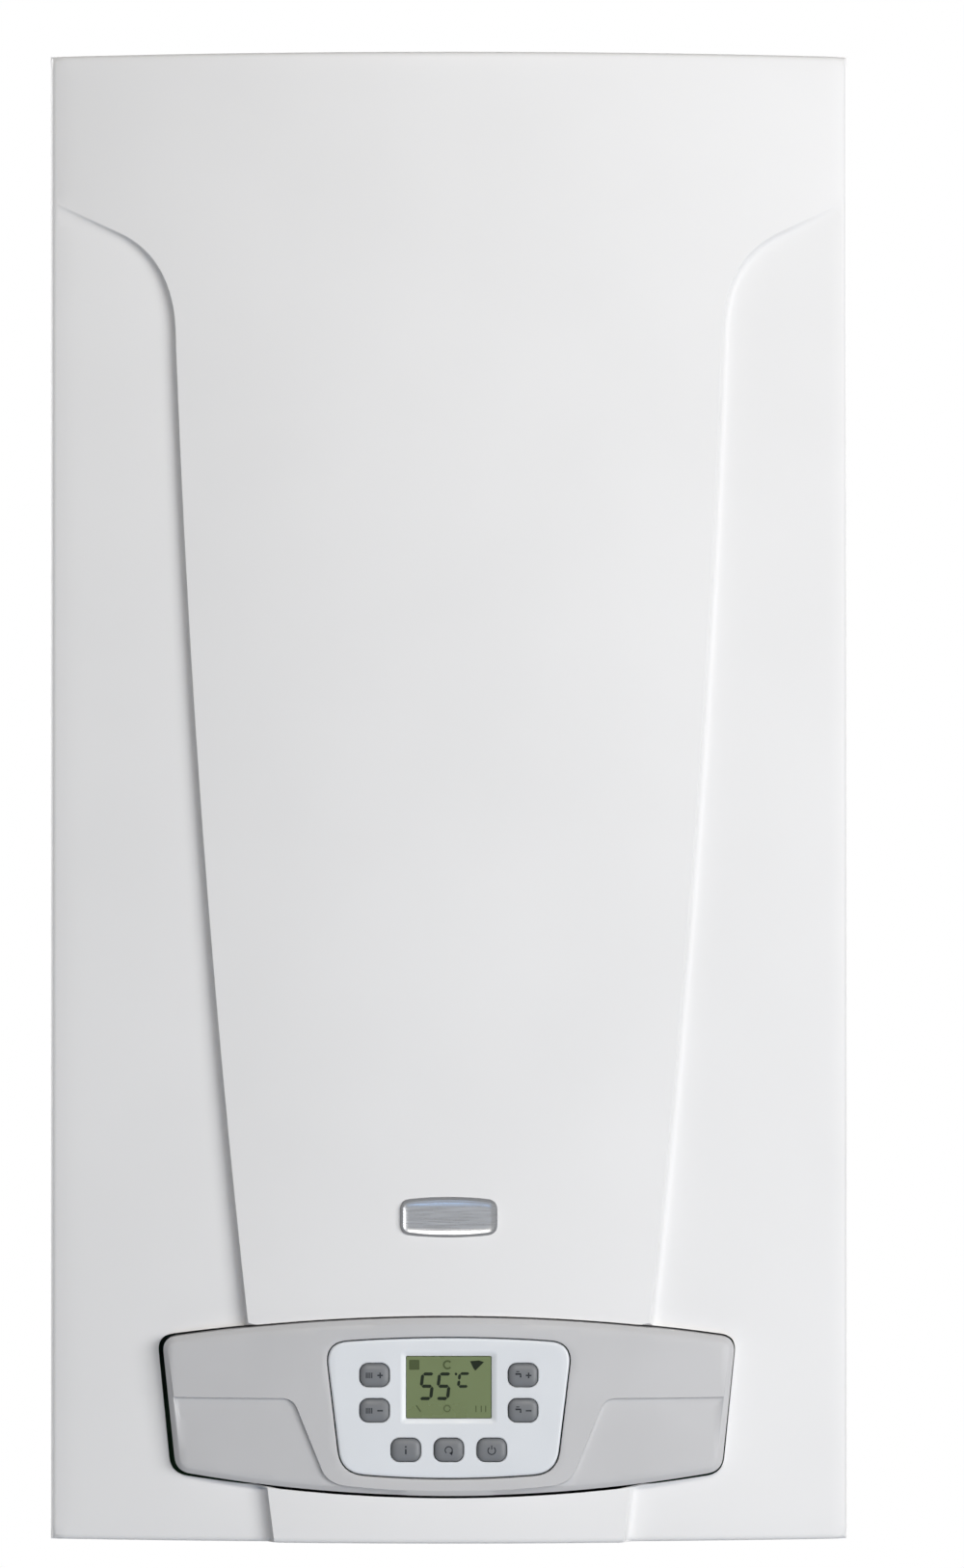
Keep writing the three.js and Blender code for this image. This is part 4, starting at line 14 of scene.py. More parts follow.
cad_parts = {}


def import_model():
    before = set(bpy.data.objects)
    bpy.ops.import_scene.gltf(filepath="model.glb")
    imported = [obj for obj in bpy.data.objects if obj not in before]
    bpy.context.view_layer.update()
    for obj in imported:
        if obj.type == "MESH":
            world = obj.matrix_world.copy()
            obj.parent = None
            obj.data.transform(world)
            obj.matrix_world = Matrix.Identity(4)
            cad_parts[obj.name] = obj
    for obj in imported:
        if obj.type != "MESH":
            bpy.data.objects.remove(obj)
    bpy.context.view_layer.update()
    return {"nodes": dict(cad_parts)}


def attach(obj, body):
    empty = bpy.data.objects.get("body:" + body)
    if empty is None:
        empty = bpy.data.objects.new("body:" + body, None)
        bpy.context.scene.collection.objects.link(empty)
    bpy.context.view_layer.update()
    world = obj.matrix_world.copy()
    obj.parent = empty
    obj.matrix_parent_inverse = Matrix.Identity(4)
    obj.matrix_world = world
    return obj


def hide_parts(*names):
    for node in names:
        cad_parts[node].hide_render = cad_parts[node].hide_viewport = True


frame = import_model()

MM = 0.001

# ------------------------------------------------------------------ sizes, in millimetres
# Casing and front panel
HALF = 200.0  # half the casing's width
HEIGHT = 745.0
HANG = 706.0  # wall hanger above the bottom edge
EDGE_DEPTH = 270.0  # panel's face at the side edges, from the wall
CROWN = 24.0  # rise of the panel's middle over its side edges
FLANK_CROWN = 16.5  # the same for the lower flanks
EDGE_ROUND = 3.0
SHEET = 1.0
RETURN_BACK = 238.0  # the folded sides end here
FLANGE_BACK = 244.0  # and the folded top and foot here
PANEL_PITCH = 9.0  # size of the mesh's triangles
OUTLINE_PITCH = 6.0

# Crease between the field and a flank, as half distances from the middle
SHOULDER_EDGE_Z = 670.0  # where it meets the side edge
SHOULDER_END = (166.4, 654.0)  # where the straight shoulder goes over into the knee
WAIST = (138.8, 602.0)  # where the knee goes over into the long leg
TAPER = 0.0364  # lean of the leg at the waist
TAPER_GAIN = 7.6e-5  # and how it grows downwards
CREASE_INNER = 2.3  # the slope starts this far inside the line
CREASE_FADE = 0.7  # length over which it falls to the flank
CREASE_RUNS = (-0.3, 0, 0.25, 0.5, 0.85, 1.25, 1.75, 2.4, 3.2, 4.2, 5.6, 7.6)  # mesh lines over it
CREASE_CLEAR = 0.6  # mesh lines keep this far from the opening
FINE_BELOW = 120.0  # its points are closer together under this height

# Fascia, its opening and its two set-back cheeks
FASCIA = dict(top=143.4, bottom=136.5, mid=68.8, height=66.4, bow=11.2, corner=7.0)
FASCIA_PROUD = 5.0
FASCIA_BACK = 262.3
FASCIA_PITCH = 3.5
OPENING_GAP = 0.8
OPENING_LEFT = 2.0  # the opening is wider at the fascia's left end
OPENING_FOOT = 0.7  # and below it
LEFT_FROM = 95.0  # it widens from here to the left
LEFT_RUN = 35.0  # over this length
FOOT_RUN = 25.0  # and downwards over this
RIM_WIDTH = 2.8  # sloping rim round the fascia
RIM_DROP = 2.2
CHEEK_Z = 73.0  # level top of a cheek
CHEEK_X = 77.0  # top of its slant
CHEEK_FOOT_X = 61.5  # foot of its slant
CHEEK_END_X = 24.0  # end of its lower edge
CHEEK_STEP = 1.9
CHEEK_FADE = 0.55
CHEEK_PITCH = 1.5
CHEEK_RUNS = (-0.15, 0, 0.2, 0.45, 0.8, 1.3, 2.1, 3.2)  # mesh lines over the step

# Key plate and display window
BEZEL = dict(top=61.4, bottom=53.6, mid=68.2, height=64.5, bow=2.8, corner=11.0)
BEZEL_GAP = 0.6
BEZEL_SUNK = 2.2  # below the fascia's middle
BEZEL_FACE = EDGE_DEPTH + CROWN + FASCIA_PROUD - BEZEL_SUNK
BEZEL_DEPTH = 3.0
BEZEL_ROUND = 1.2
BEZEL_PITCH = 3.0
SEAT_ROUND = 0.5  # rounded edge of the fascia round the key plate
SEAT_ROOT = 0.3  # and that edge's wall reaches this far behind it
WINDOW = (42.8, 31.3)
WINDOW_Z = 78.5
WINDOW_CORNER = 0.8
WINDOW_FRAME = 2.6  # chamfer round the window
WINDOW_DROP = 1.1
GLASS_GAP = 0.6  # the glass is this much smaller than the window
GLASS_CORNER = 0.6
GLASS_SUNK = 1.0
GLASS_PITCH = 6.0
GLASS_ROOT = 1.3  # how far the glass reaches behind the key plate
PRINT = 0.05  # thickness of printed marks
DIGIT_PRINT = 0.06
LIT = {"5": "acdfg", "C": "adef"}  # a digit's dark bars, from the top clockwise, then the middle
LEAN = 0.12  # of the digits
BAR_GAP = 0.08  # gap at a bar's ends, as a share of its width

# Keys
KEY = (14.4, 11.4)
KEY_CORNER = 4.0
KEY_GAP = 0.4
KEY_PROUD = 1.6  # middle of a key over the key plate
KEY_EDGE = 0.1  # and its edge
KEY_DOME = 3.6  # width of the domed edge
KEY_ROOT = 1.7  # how far a key reaches behind the key plate
KEY_PITCH = 1.5
MARK_SUNK = 0.02  # the signs' backs lie this far inside the keys
LIP_WIDTH = 0.4  # chamfer round each key's hole
LIP_DROP = 0.3
SIDE_KEY_X = 37.0
SIDE_KEY_Z = (84.6, 67.0)
FOOT_KEY_PITCH = 21.4
FOOT_KEY_Z = 47.3

# Badge
BADGE = dict(top=24.3, bottom=24.3, mid=163.2, height=17.0, bow=1.6, corner=5.0)
BADGE_RIM = 2.4  # height of the rim over the panel
BADGE_RIM_WIDTH = 2.1
BADGE_DISH = 0.7  # the middle lies this far below the rim
BADGE_DISH_FROM = 1.5  # the fall to it starts this far from the outline
BADGE_DISH_RUN = 1.2
BADGE_GAP = 0.1  # to the panel behind it
BADGE_STEPS = 24  # points along its top and foot
BADGE_PITCH = 2.0

# Flue adapter and its screws
FLUE_Y = -163.0
FLUE_R = 50.0
FLANGE_R = 66.0
FLANGE_FOOT = 738.3
FLANGE = 2.0
FILLET = 2.4
COLLAR_TOP = 753.3
COLLAR_WALL = 2.5
SCREWS = 4
SCREW_RING = 59.6
SCREW_R = 3.3
SCREW_HIGH = 2.2
SCREW_DOME = 1.45  # a head's dome up to this angle, in radians, then flat

# Meshes
SHARP = 32.0  # edges over this many degrees stay sharp
GRID_CLEAR = 0.4  # grid points keep this share of the pitch from outlines and lines
ON_LINE = 1e-3  # a point this near to a line lies on it
PAST = 50.0  # outlines that close round a region run this far past the piece

# ------------------------------------------------------------------ sizes, in metres
PLATE_PITCH = 0.0024  # of the plates in the exchanger
FLOOR_DROP = 3.3  # below the wall hanger
FLOOR_RADIUS = 2.4
MIDDLE = (0, -EDGE_DEPTH * MM, (HEIGHT / 2 - HANG) * MM)  # the lamps look here

# Strengths of the light
FLOOR_GLOW = 0.72  # the floor's own, for rays from the eye
WORLD_LIGHT = 0.035


# ------------------------------------------------------------------ materials
def principled(mat):
    """The material's own shader."""
    return mat.node_tree.nodes["Principled BSDF"]


def shader(name, color, rough, metal=0.0, spec=0.5):
    """A Principled material. Its plain numbers are set on the shader's own sockets."""
    mat = bpy.data.materials.new(name)
    mat.use_nodes = True
    inputs = principled(mat).inputs
    inputs["Base Color"].default_value = (*color, 1)
    inputs["Roughness"].default_value = rough
    inputs["Metallic"].default_value = metal
    inputs["Specular IOR Level"].default_value = spec
    return mat


def noise(mat, scale, detail=3.0, stretch=(1, 1, 1)):
    """Noise in object space, stretched along an axis for brushed or drawn metal."""
    nodes, links = mat.node_tree.nodes, mat.node_tree.links
    place = nodes.new("ShaderNodeTexCoord")
    turn = nodes.new("ShaderNodeMapping")
    turn.inputs["Scale"].default_value = stretch
    made = nodes.new("ShaderNodeTexNoise")
    made.inputs["Scale"].default_value = scale
    made.inputs["Detail"].default_value = detail
    links.new(place.outputs["Object"], turn.inputs["Vector"])
    links.new(turn.outputs["Vector"], made.inputs["Vector"])
    return made.outputs["Fac"]


def ramp(mat, source, low, high, start=0.35, end=0.65):
    """Spreads a texture between two colours or greys."""
    made = mat.node_tree.nodes.new("ShaderNodeValToRGB")
    made.color_ramp.elements[0].position = start
    made.color_ramp.elements[1].position = end
    made.color_ramp.elements[0].color = (*low, 1)
    made.color_ramp.elements[1].color = (*high, 1)
    mat.node_tree.links.new(source, made.inputs["Fac"])
    return made.outputs["Color"]


def bump(mat, source, strength, distance):
    """Adds relief from a texture."""
    made = mat.node_tree.nodes.new("ShaderNodeBump")
    made.inputs["Strength"].default_value = strength
    made.inputs["Distance"].default_value = distance
    mat.node_tree.links.new(source, made.inputs["Height"])
    mat.node_tree.links.new(made.outputs["Normal"], principled(mat).inputs["Normal"])
    return mat


def tint(mat, source, *spread):
    """Colours a material by a texture, spread between two colours."""
    mat.node_tree.links.new(ramp(mat, source, *spread), principled(mat).inputs["Base Color"])


def gloss(mat, source, low, high, *ends):
    """The same for its roughness, spread between two numbers."""
    made = ramp(mat, source, (low, low, low), (high, high, high), *ends)
    mat.node_tree.links.new(made, principled(mat).inputs["Roughness"])


def shades(color, spread):
    """A colour a little darker and a little lighter."""
    return [tuple(min(1.0, c * (1 + s)) for c in color) for s in (-spread, spread)]


def painted(name, color, rough=0.3):
    """Powder-coated or enamelled steel: faint orange peel and a faint drift in gloss."""
    mat = shader(name, color, rough, spec=0.15)
    bump(mat, noise(mat, 900, 2), 0.06, 0.0002)
    tint(mat, noise(mat, 9, 2), *shades(color, 0.012))
    gloss(mat, noise(mat, 30, 4), rough * 0.96, rough * 1.05)
    return mat


def moulded(name, color, rough=0.45, grain=0.12, spec=0.5):
    """Moulded plastic with a fine spark-eroded grain."""
    mat = shader(name, color, rough, spec=spec)
    bump(mat, noise(mat, 2600, 3), grain, 0.00012)
    tint(mat, noise(mat, 14, 3), *shades(color, 0.025))
    gloss(mat, noise(mat, 60, 3), rough * 0.85, rough * 1.15)
    return mat


def metal(name, color, rough, grain=(1, 1, 1), scale=220, spread=0.08, relief=0.1):
    """Bare metal: drawn, brushed or cast, by the grain's stretch and scale."""
    mat = shader(name, color, rough, metal=1.0)
    grained = noise(mat, scale, 4, grain)
    tint(mat, noise(mat, 18, 5), *shades(color, spread))
    gloss(mat, grained, rough * 0.8, min(1, rough * 1.3))
    return bump(mat, grained, relief, 0.0002)


def galvanised():
    """Hot-dip zinc: crystals a centimetre across, each with its own tone."""
    mat = shader("galvanised", (0.5, 0.52, 0.54), 0.6, metal=1.0)
    nodes, links = mat.node_tree.nodes, mat.node_tree.links
    place = nodes.new("ShaderNodeTexCoord")
    cells = nodes.new("ShaderNodeTexVoronoi")
    cells.inputs["Scale"].default_value = 110
    links.new(place.outputs["Object"], cells.inputs["Vector"])
    tint(mat, cells.outputs["Color"], (0.45, 0.47, 0.49), (0.55, 0.57, 0.59), 0.1, 0.9)
    gloss(mat, cells.outputs["Color"], 0.54, 0.66, 0.1, 0.9)
    return bump(mat, noise(mat, 400, 3), 0.05, 0.0001)


def brazed():
    """Stainless plates brazed in a stack along the casing's depth, with copper in the seams.

    A wave of scale 0.1 pi repeats once a metre. Its phase puts plain steel on the front plate.
    """
    steel, copper = (0.66, 0.67, 0.68), (0.5, 0.33, 0.23)
    mat = shader("brazed_plates", steel, 0.3, metal=1.0)
    place = mat.node_tree.nodes.new("ShaderNodeTexCoord")
    wave = mat.node_tree.nodes.new("ShaderNodeTexWave")
    wave.bands_direction = "Y"
    wave.inputs["Scale"].default_value = 0.1 * math.pi / PLATE_PITCH
    front = min(v.co.y for v in frame["nodes"]["plate_exchanger"].data.vertices)
    wave.inputs["Phase Offset"].default_value = math.pi - 2 * math.pi * front / PLATE_PITCH
    mat.node_tree.links.new(place.outputs["Object"], wave.inputs["Vector"])
    tint(mat, wave.outputs["Fac"], copper, steel, 0.05, 0.35)
    gloss(mat, noise(mat, 160, 4), 0.38, 0.43)
    return bump(mat, wave.outputs["Fac"], 0.8, 0.0008)


def clear_glass():
    """Thick glass, faintly green and not quite even."""
    mat = shader("sight_glass", (0.9, 0.95, 0.94), 0.03)
    principled(mat).inputs["Transmission Weight"].default_value = 0.85
    return bump(mat, noise(mat, 60, 2), 0.05, 0.0002)


ENAMEL = painted("white_enamel", (0.79, 0.79, 0.795), 0.4)
ZINC = galvanised()
ALUMINISED = metal("aluminised_steel", (0.5, 0.5, 0.49), 0.5, scale=320, spread=0.12)
COPPER = metal("copper_pipe", (0.76, 0.38, 0.24), 0.3, scale=90, spread=0.16)
BRASS = metal("cast_brass", (0.67, 0.52, 0.26), 0.42, scale=700, spread=0.1, relief=0.25)
ALUMINIUM = metal("cast_aluminium", (0.62, 0.63, 0.64), 0.5, scale=900, spread=0.06, relief=0.4)
STAINLESS = metal("pressed_stainless", (0.66, 0.67, 0.68), 0.26, grain=(1, 1, 12), scale=160)
PLATES = brazed()
VESSEL_RED = painted("vessel_paint", (0.36, 0.035, 0.025), 0.38)
BLACK = moulded("black_plastic", (0.025, 0.027, 0.03), 0.5, 0.25)
FASCIA_GREY = moulded("grey_fascia", (0.54, 0.54, 0.55), 0.4, 0.1, 0.25)
KEY_PLATE_WHITE = moulded("white_key_plate", (0.69, 0.715, 0.745), 0.38, 0.06)
KEY_GREY = moulded("grey_rubber", (0.145, 0.152, 0.162), 0.5, 0.1)
KEY_PRINT = moulded("key_print", (0.014, 0.016, 0.02), 0.5, 0.05, 0.2)
BOARD = moulded("solder_mask", (0.02, 0.11, 0.045), 0.35, 0.05)
CERAMIC = moulded("white_ceramic", (0.75, 0.72, 0.65), 0.35, 0.05)
FIBRE = moulded("ceramic_fibre", (0.6, 0.57, 0.49), 0.9, 0.8)
RED = moulded("red_plastic", (0.42, 0.02, 0.015), 0.4)
BLUE = moulded("blue_plastic", (0.02, 0.09, 0.3), 0.4)
SATIN = metal("satin_badge", (0.27, 0.275, 0.285), 0.3, grain=(1, 1, 30), scale=60, spread=0.04)
GLASS = clear_glass()
LCD = moulded("display_green", (0.133, 0.172, 0.07), 0.3, 0.02)
LCD_DARK = moulded("display_segment", (0.012, 0.018, 0.01), 0.4, 0.02, 0.1)
LCD_FAINT = moulded("display_faint", (0.07, 0.09, 0.04), 0.4, 0.02, 0.1)


# ------------------------------------------------------------------ mesh helpers
def shaded(mesh):
    """Smooth shading, with the edges over SHARP degrees kept."""
    mesh.shade_smooth()
    mesh.set_sharp_from_angle(angle=math.radians(SHARP))


def add(name, verts, faces, material, body, node=None):
    """A mesh object from points in millimetres, with heights above the casing's bottom edge.

    It rides on a body, and where a node is named it stands for that node.
    """
    mesh = bpy.data.meshes.new(name)
    points = [(x * MM, y * MM, (z - HANG) * MM) for x, y, z in verts]
    mesh.from_pydata(points, [], [list(f) for f in faces])
    mesh.validate()
    made = bpy.data.objects.new(name, mesh)
    bpy.context.scene.collection.objects.link(made)
    mesh.materials.append(material)
    shaded(mesh)
    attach(made, body)
    if node:
        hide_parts(node)
    return made


def thickened(obj, thickness):
    """Gives an open sheet its thickness, behind its face."""
    modifier = obj.modifiers.new("sheet", "SOLIDIFY")
    modifier.thickness = thickness
    modifier.offset = -1
    modifier.use_quality_normals = True
    graph = bpy.context.evaluated_depsgraph_get()
    graph.update()
    mesh = bpy.data.meshes.new_from_object(obj.evaluated_get(graph))
    obj.modifiers.clear()
    old, obj.data = obj.data, mesh
    bpy.data.meshes.remove(old)
    shaded(mesh)


def quadratic(start, middle, end, steps):
    """Points of a soft corner, its start left out."""
    points = []
    for i in range(1, steps + 1):
        t = i / steps
        p, q, r = (1 - t) ** 2, 2 * t * (1 - t), t * t
        points.append(tuple(p * a + q * b + r * c for a, b, c in zip(start, middle, end)))
    return points


def ring(loop):
    """A closed outline as a run of points."""
    return loop + loop[:1]


def barrel(form, grow=0.0, steps=40, corner_steps=10):
    """Outline with leaning sides, arched top and foot and soft corners, widened by grow."""
    ht, hb = form["top"] + grow, form["bottom"] + grow
    t = form["mid"] + form["height"] / 2 + grow
    b = form["mid"] - form["height"] / 2 - grow
    r = form["corner"] + max(grow, -form["corner"] / 2)
    bow = form["bow"]
    top_x, foot_x = ht - r, hb - r
    lean = (ht - hb) / (t - b) * r

    def arch(x, half):
        return bow * (1 - (x / half) ** 2)

    points = []
    for i in range(steps + 1):
        x = foot_x * (2 * i / steps - 1)
        points.append((x, b - arch(x, hb)))
    points += quadratic(points[-1], (hb, b), (hb + lean, b + r), corner_steps)
    points.append((ht - lean, t - r))
    points += quadratic(points[-1], (ht, t), (top_x, t + arch(top_x, ht)), corner_steps)
    for i in range(1, steps + 1):
        x = top_x * (1 - 2 * i / steps)
        points.append((x, t + arch(x, ht)))
    points += quadratic(points[-1], (-ht, t), (-ht + lean, t - r), corner_steps)
    points.append((-hb - lean, b + r))
    points += quadratic(points[-1], (-hb, b), (-foot_x, b - arch(foot_x, hb)), corner_steps)[:-1]
    return points


def soft_box(mid_x, mid_z, width, height, radius, steps=6):
    """Rectangle with round corners."""
    points = []
    for turn, (sx, sz) in enumerate(((1, -1), (1, 1), (-1, 1), (-1, -1))):
        cx = mid_x + sx * (width / 2 - radius)
        cz = mid_z + sz * (height / 2 - radius)
        for i in range(steps + 1):
            angle = math.pi / 2 * (turn - 1 + i / steps)
            points.append((cx + radius * math.cos(angle), cz + radius * math.sin(angle)))
    return points


def inside(points, loop):
    """Which of the points lie inside a closed outline."""
    x, z = points[:, 0], points[:, 1]
    hit = np.zeros(len(points), bool)
    corners = np.asarray(loop)
    for (x0, z0), (x1, z1) in zip(corners, np.roll(corners, -1, axis=0)):
        crosses = (z0 > z) != (z1 > z)
        if crosses.any():
            hit ^= crosses & (x < (x1 - x0) * (z - z0) / (z1 - z0 + 1e-12) + x0)
    return hit


def distance(points, loop, closed=True):
    """Distance of each point from an outline, or from a run that isn't closed."""
    corners = np.asarray(loop, float)
    ends = np.roll(corners, -1, axis=0) if closed else corners[1:]
    starts = corners if closed else corners[:-1]
    least = np.full(len(points), 1e9)
    for a, b in zip(starts, ends):
        along = b - a
        share = np.clip(((points - a) @ along) / max(along @ along, 1e-12), 0, 1)
        least = np.minimum(least, np.hypot(*(points - a - share[:, None] * along).T))
    return least


def triangles(outline, holes, lines, pitch):
    """Points and triangles that fill an outline with holes, with edges along every line."""
    loops = [outline, *holes]
    xs, zs = zip(*outline)
    grid_x = np.arange(min(xs) + pitch / 2, max(xs), pitch)
    grid_z = np.arange(min(zs) + pitch / 2, max(zs), pitch)
    points = np.array([(x, z) for x in grid_x for z in grid_z])
    keep = inside(points, outline)
    for hole in holes:
        keep &= ~inside(points, hole)
    for loop in loops:
        keep &= distance(points, loop) > GRID_CLEAR * pitch
    for run in lines:
        keep &= distance(points, run, closed=False) > GRID_CLEAR * pitch
    coords, edges = [], []
    for loop in loops:
        first = len(coords)
        coords += loop
        edges += [(first + i, first + (i + 1) % len(loop)) for i in range(len(loop))]
    for run in lines:
        first = len(coords)
        coords += run
        edges += [(first + i, first + i + 1) for i in range(len(run) - 1)]
    coords += [tuple(p) for p in points[keep]]
    made = delaunay_2d_cdt([Vector(c) for c in coords], edges, [], 0, 1e-6)
    flat = np.array([(v.x, v.y) for v in made[0]])
    middles = np.array([flat[list(f)].mean(axis=0) for f in made[2]])
    used = inside(middles, outline)
    for hole in holes:
        used &= ~inside(middles, hole)
    faces = []
    for face in (f for f, filled in zip(made[2], used) if filled):
        (ax, az), (bx, bz), (cx, cz) = (flat[i] for i in face)
        turn = (bx - ax) * (cz - az) - (bz - az) * (cx - ax)
        faces.append(tuple(face) if turn > 0 else tuple(reversed(face)))
    return flat, faces


def pressed(name, form, lines, depth, pitch, material, body, node, back, hole_back=None):
    """A face lifted from its outline as seen from the front.

    form is the outline and its holes. lines are the runs where the form turns, so that edges lie
    on them. depth gives each point's distance from the wall. The outline's rim goes back to the
    depth that back gives, and the holes' rims go to hole_back or stay open.
    """
    outline, *holes = form
    flat, faces = triangles(outline, holes, lines, pitch)
    verts = [(x, -d, z) for (x, z), d in zip(flat, depth(flat))]
    sides = {(a, b) for face in faces for a, b in zip(face, face[1:] + face[:1])}
    outer = distance(flat, outline) < ON_LINE
    pushed = {}

    def behind(i):
        if i not in pushed:
            x, _, z = verts[i]
            end = hole_back
            if outer[i]:
                end = back(x, z) if callable(back) else back
            pushed[i] = len(verts)
            verts.append((x, -end, z))
        return pushed[i]

    for face in list(faces):
        for a, b in zip(face, face[1:] + face[:1]):
            if (b, a) not in sides and (hole_back is not None or outer[a] and outer[b]):
                faces.append((b, a, behind(a), behind(b)))
    return add(name, verts, faces, material, body, node)


# ------------------------------------------------------------------ front panel
def crease_x(z):
    """Half distance between the two creases, at a height up to the shoulder's end."""
    if z <= WAIST[1]:
        drop = WAIST[1] - z
        return WAIST[0] - TAPER * drop - TAPER_GAIN * drop * drop
    rise = SHOULDER_EDGE_Z - SHOULDER_END[1]
    knee_z = SHOULDER_END[1] - (SHOULDER_END[0] - WAIST[0]) * rise / (HALF - SHOULDER_END[0])
    low, high = 0.0, 1.0
    for _ in range(40):  # halves the interval until the knee's curve meets the height
        t = (low + high) / 2
        at = (1 - t) ** 2 * SHOULDER_END[1] + 2 * t * (1 - t) * knee_z + t * t * WAIST[1]
        low, high = (t, high) if at > z else (low, t)
    return (1 - t) ** 2 * SHOULDER_END[0] + 2 * t * (1 - t) * WAIST[0] + t * t * WAIST[0]


def crease_line():
    """The crease from the foot to the side edge, finest round the opening."""
    heights = list(np.linspace(0, FINE_BELOW, 150))
    heights += list(np.linspace(FINE_BELOW, WAIST[1], 80))[1:]
    heights += list(np.linspace(WAIST[1], SHOULDER_END[1], 30))[1:]
    line = [(crease_x(z), z) for z in heights]
    last, end = np.array(line[-1]), np.array((HALF, SHOULDER_EDGE_Z))
    return line + [tuple(last * (1 - s) + end * s) for s in np.linspace(0, 1, 14)[1:]]


def offset(line, by):
    """A run moved sideways, to its left."""
    run = np.asarray(line)
    along = np.gradient(run, axis=0)
    along /= np.hypot(*along.T)[:, None]
    return run + by * np.column_stack([-along[:, 1], along[:, 0]])


CREASE = crease_line()


def crown(x, rise=CROWN):
    """Depth of a crowned face, highest in the middle."""
    return EDGE_DEPTH + rise * (1 - (x / HALF) ** 2)


def panel_depth(points):
    """The crowned field, the lower flanks, the slope between them and the rounded edges."""
    x, z = np.abs(points[:, 0]), points[:, 1]
    folded = np.column_stack([x, z])
    away = distance(folded, CREASE, closed=False)
    beyond, below = HALF + PAST, -PAST
    around = [(beyond, SHOULDER_EDGE_Z), (beyond, below), (CREASE[0][0], below)]
    flank = inside(folded, CREASE + around)
    out = np.where(flank, away, -away) + CREASE_INNER
    run = np.maximum(0, out) / CREASE_FADE
    share = 1 - (1 + run) * np.exp(-run)
    depth = crown(x) * (1 - share) + crown(x, FLANK_CROWN) * share
    into_x = np.maximum(0, x - HALF + EDGE_ROUND)
    into_z = np.maximum(0, EDGE_ROUND - np.minimum(z, HEIGHT - z))
    return depth - EDGE_ROUND + np.sqrt(np.maximum(0, EDGE_ROUND**2 - into_x**2 - into_z**2))


def opening(grow=0.0):
    """The hole for the fascia, a little longer on the left and lower at the foot."""
    def shifted(x, z):
        left = min(1.0, max(0.0, (-x - LEFT_FROM) / LEFT_RUN))
        foot = min(1.0, max(0.0, (FASCIA["mid"] - z) / FOOT_RUN))
        return x - OPENING_LEFT * left, z - OPENING_FOOT * foot

    return [shifted(x, z) for x, z in barrel(FASCIA, OPENING_GAP + grow)]


def panel_outline(inset):
    """The panel's outline, or one inside it, in even steps."""
    x, low, high = HALF - inset, inset, HEIGHT - inset
    ends = [(-x, low), (x, low), (x, high), (-x, high)]
    loop = []
    for (ax, az), (bx, bz) in zip(ends, ends[1:] + ends[:1]):
        count = int(max(abs(bx - ax), abs(bz - az)) / OUTLINE_PITCH)
        loop += [(ax + (bx - ax) * i / count, az + (bz - az) * i / count) for i in range(count)]
    return loop


def front_panel():
    """The pressed sheet, with its folded edges and the opening."""
    lines = [ring(panel_outline(EDGE_ROUND * s)) for s in (0.12, 0.35, 0.65, 1.0)]
    limit = HALF - EDGE_ROUND - 0.5
    hole = opening(CREASE_CLEAR)
    for out in CREASE_RUNS:
        run = offset(CREASE, CREASE_INNER - out)
        run = run[(run[:, 0] < limit) & (run[:, 1] > 0.2)]
        free, upper = ~inside(run, hole), run[:, 1] > FASCIA["mid"]
        for part in (run[free & upper], run[free & ~upper]):
            if len(part) > 1:
                lines.append([tuple(p) for p in part])
                lines.append([(-x, z) for x, z in part])
    made = pressed(
        "front_panel_sheet", [panel_outline(0), opening()], lines, panel_depth, PANEL_PITCH,
        ENAMEL, "front_panel", "front_panel",
        back=lambda x, z: RETURN_BACK if abs(abs(x) - HALF) < ON_LINE else FLANGE_BACK,
    )
    thickened(made, SHEET * MM)


front_panel()


# ------------------------------------------------------------------ fascia, display and keys
def cheek_line():
    """Edge of the right cheek, from the side along its level top, down its slant and inwards.

    Its two corners are curves that start and end a few millimetres from them.
    """
    foot = FASCIA["mid"] - FASCIA["height"] / 2 - FASCIA["bow"]
    slant = (CHEEK_X - CHEEK_FOOT_X) / (CHEEK_Z - foot)
    run = [(FASCIA["top"], CHEEK_Z), (CHEEK_X + 6, CHEEK_Z)]
    run += quadratic(run[-1], (CHEEK_X, CHEEK_Z), (CHEEK_X - 7 * slant, CHEEK_Z - 7), 8)
    run.append((CHEEK_FOOT_X + 4 * slant, foot + 12))
    run += quadratic(run[-1], (CHEEK_FOOT_X - 2, foot + 6), (CHEEK_FOOT_X - 11, foot + 5), 8)
    return run + [(CHEEK_END_X, foot + 2.4)]


def resampled(line, pitch):
    """The same run with more points on it."""
    points = [np.array(line[0], float)]
    for a, b in zip(line, line[1:]):
        a, b = np.array(a, float), np.array(b, float)
        count = max(1, int(np.hypot(*(b - a)) / pitch))
        points += [a + (b - a) * i / count for i in range(1, count + 1)]
    return [tuple(p) for p in points]


def rounding(points, loop, radius):
    """How far a rounded edge falls back near its outline."""
    into = np.maximum(0, radius - distance(points, loop))
    return radius - np.sqrt(np.maximum(0, radius**2 - into**2))


CHEEK = cheek_line()


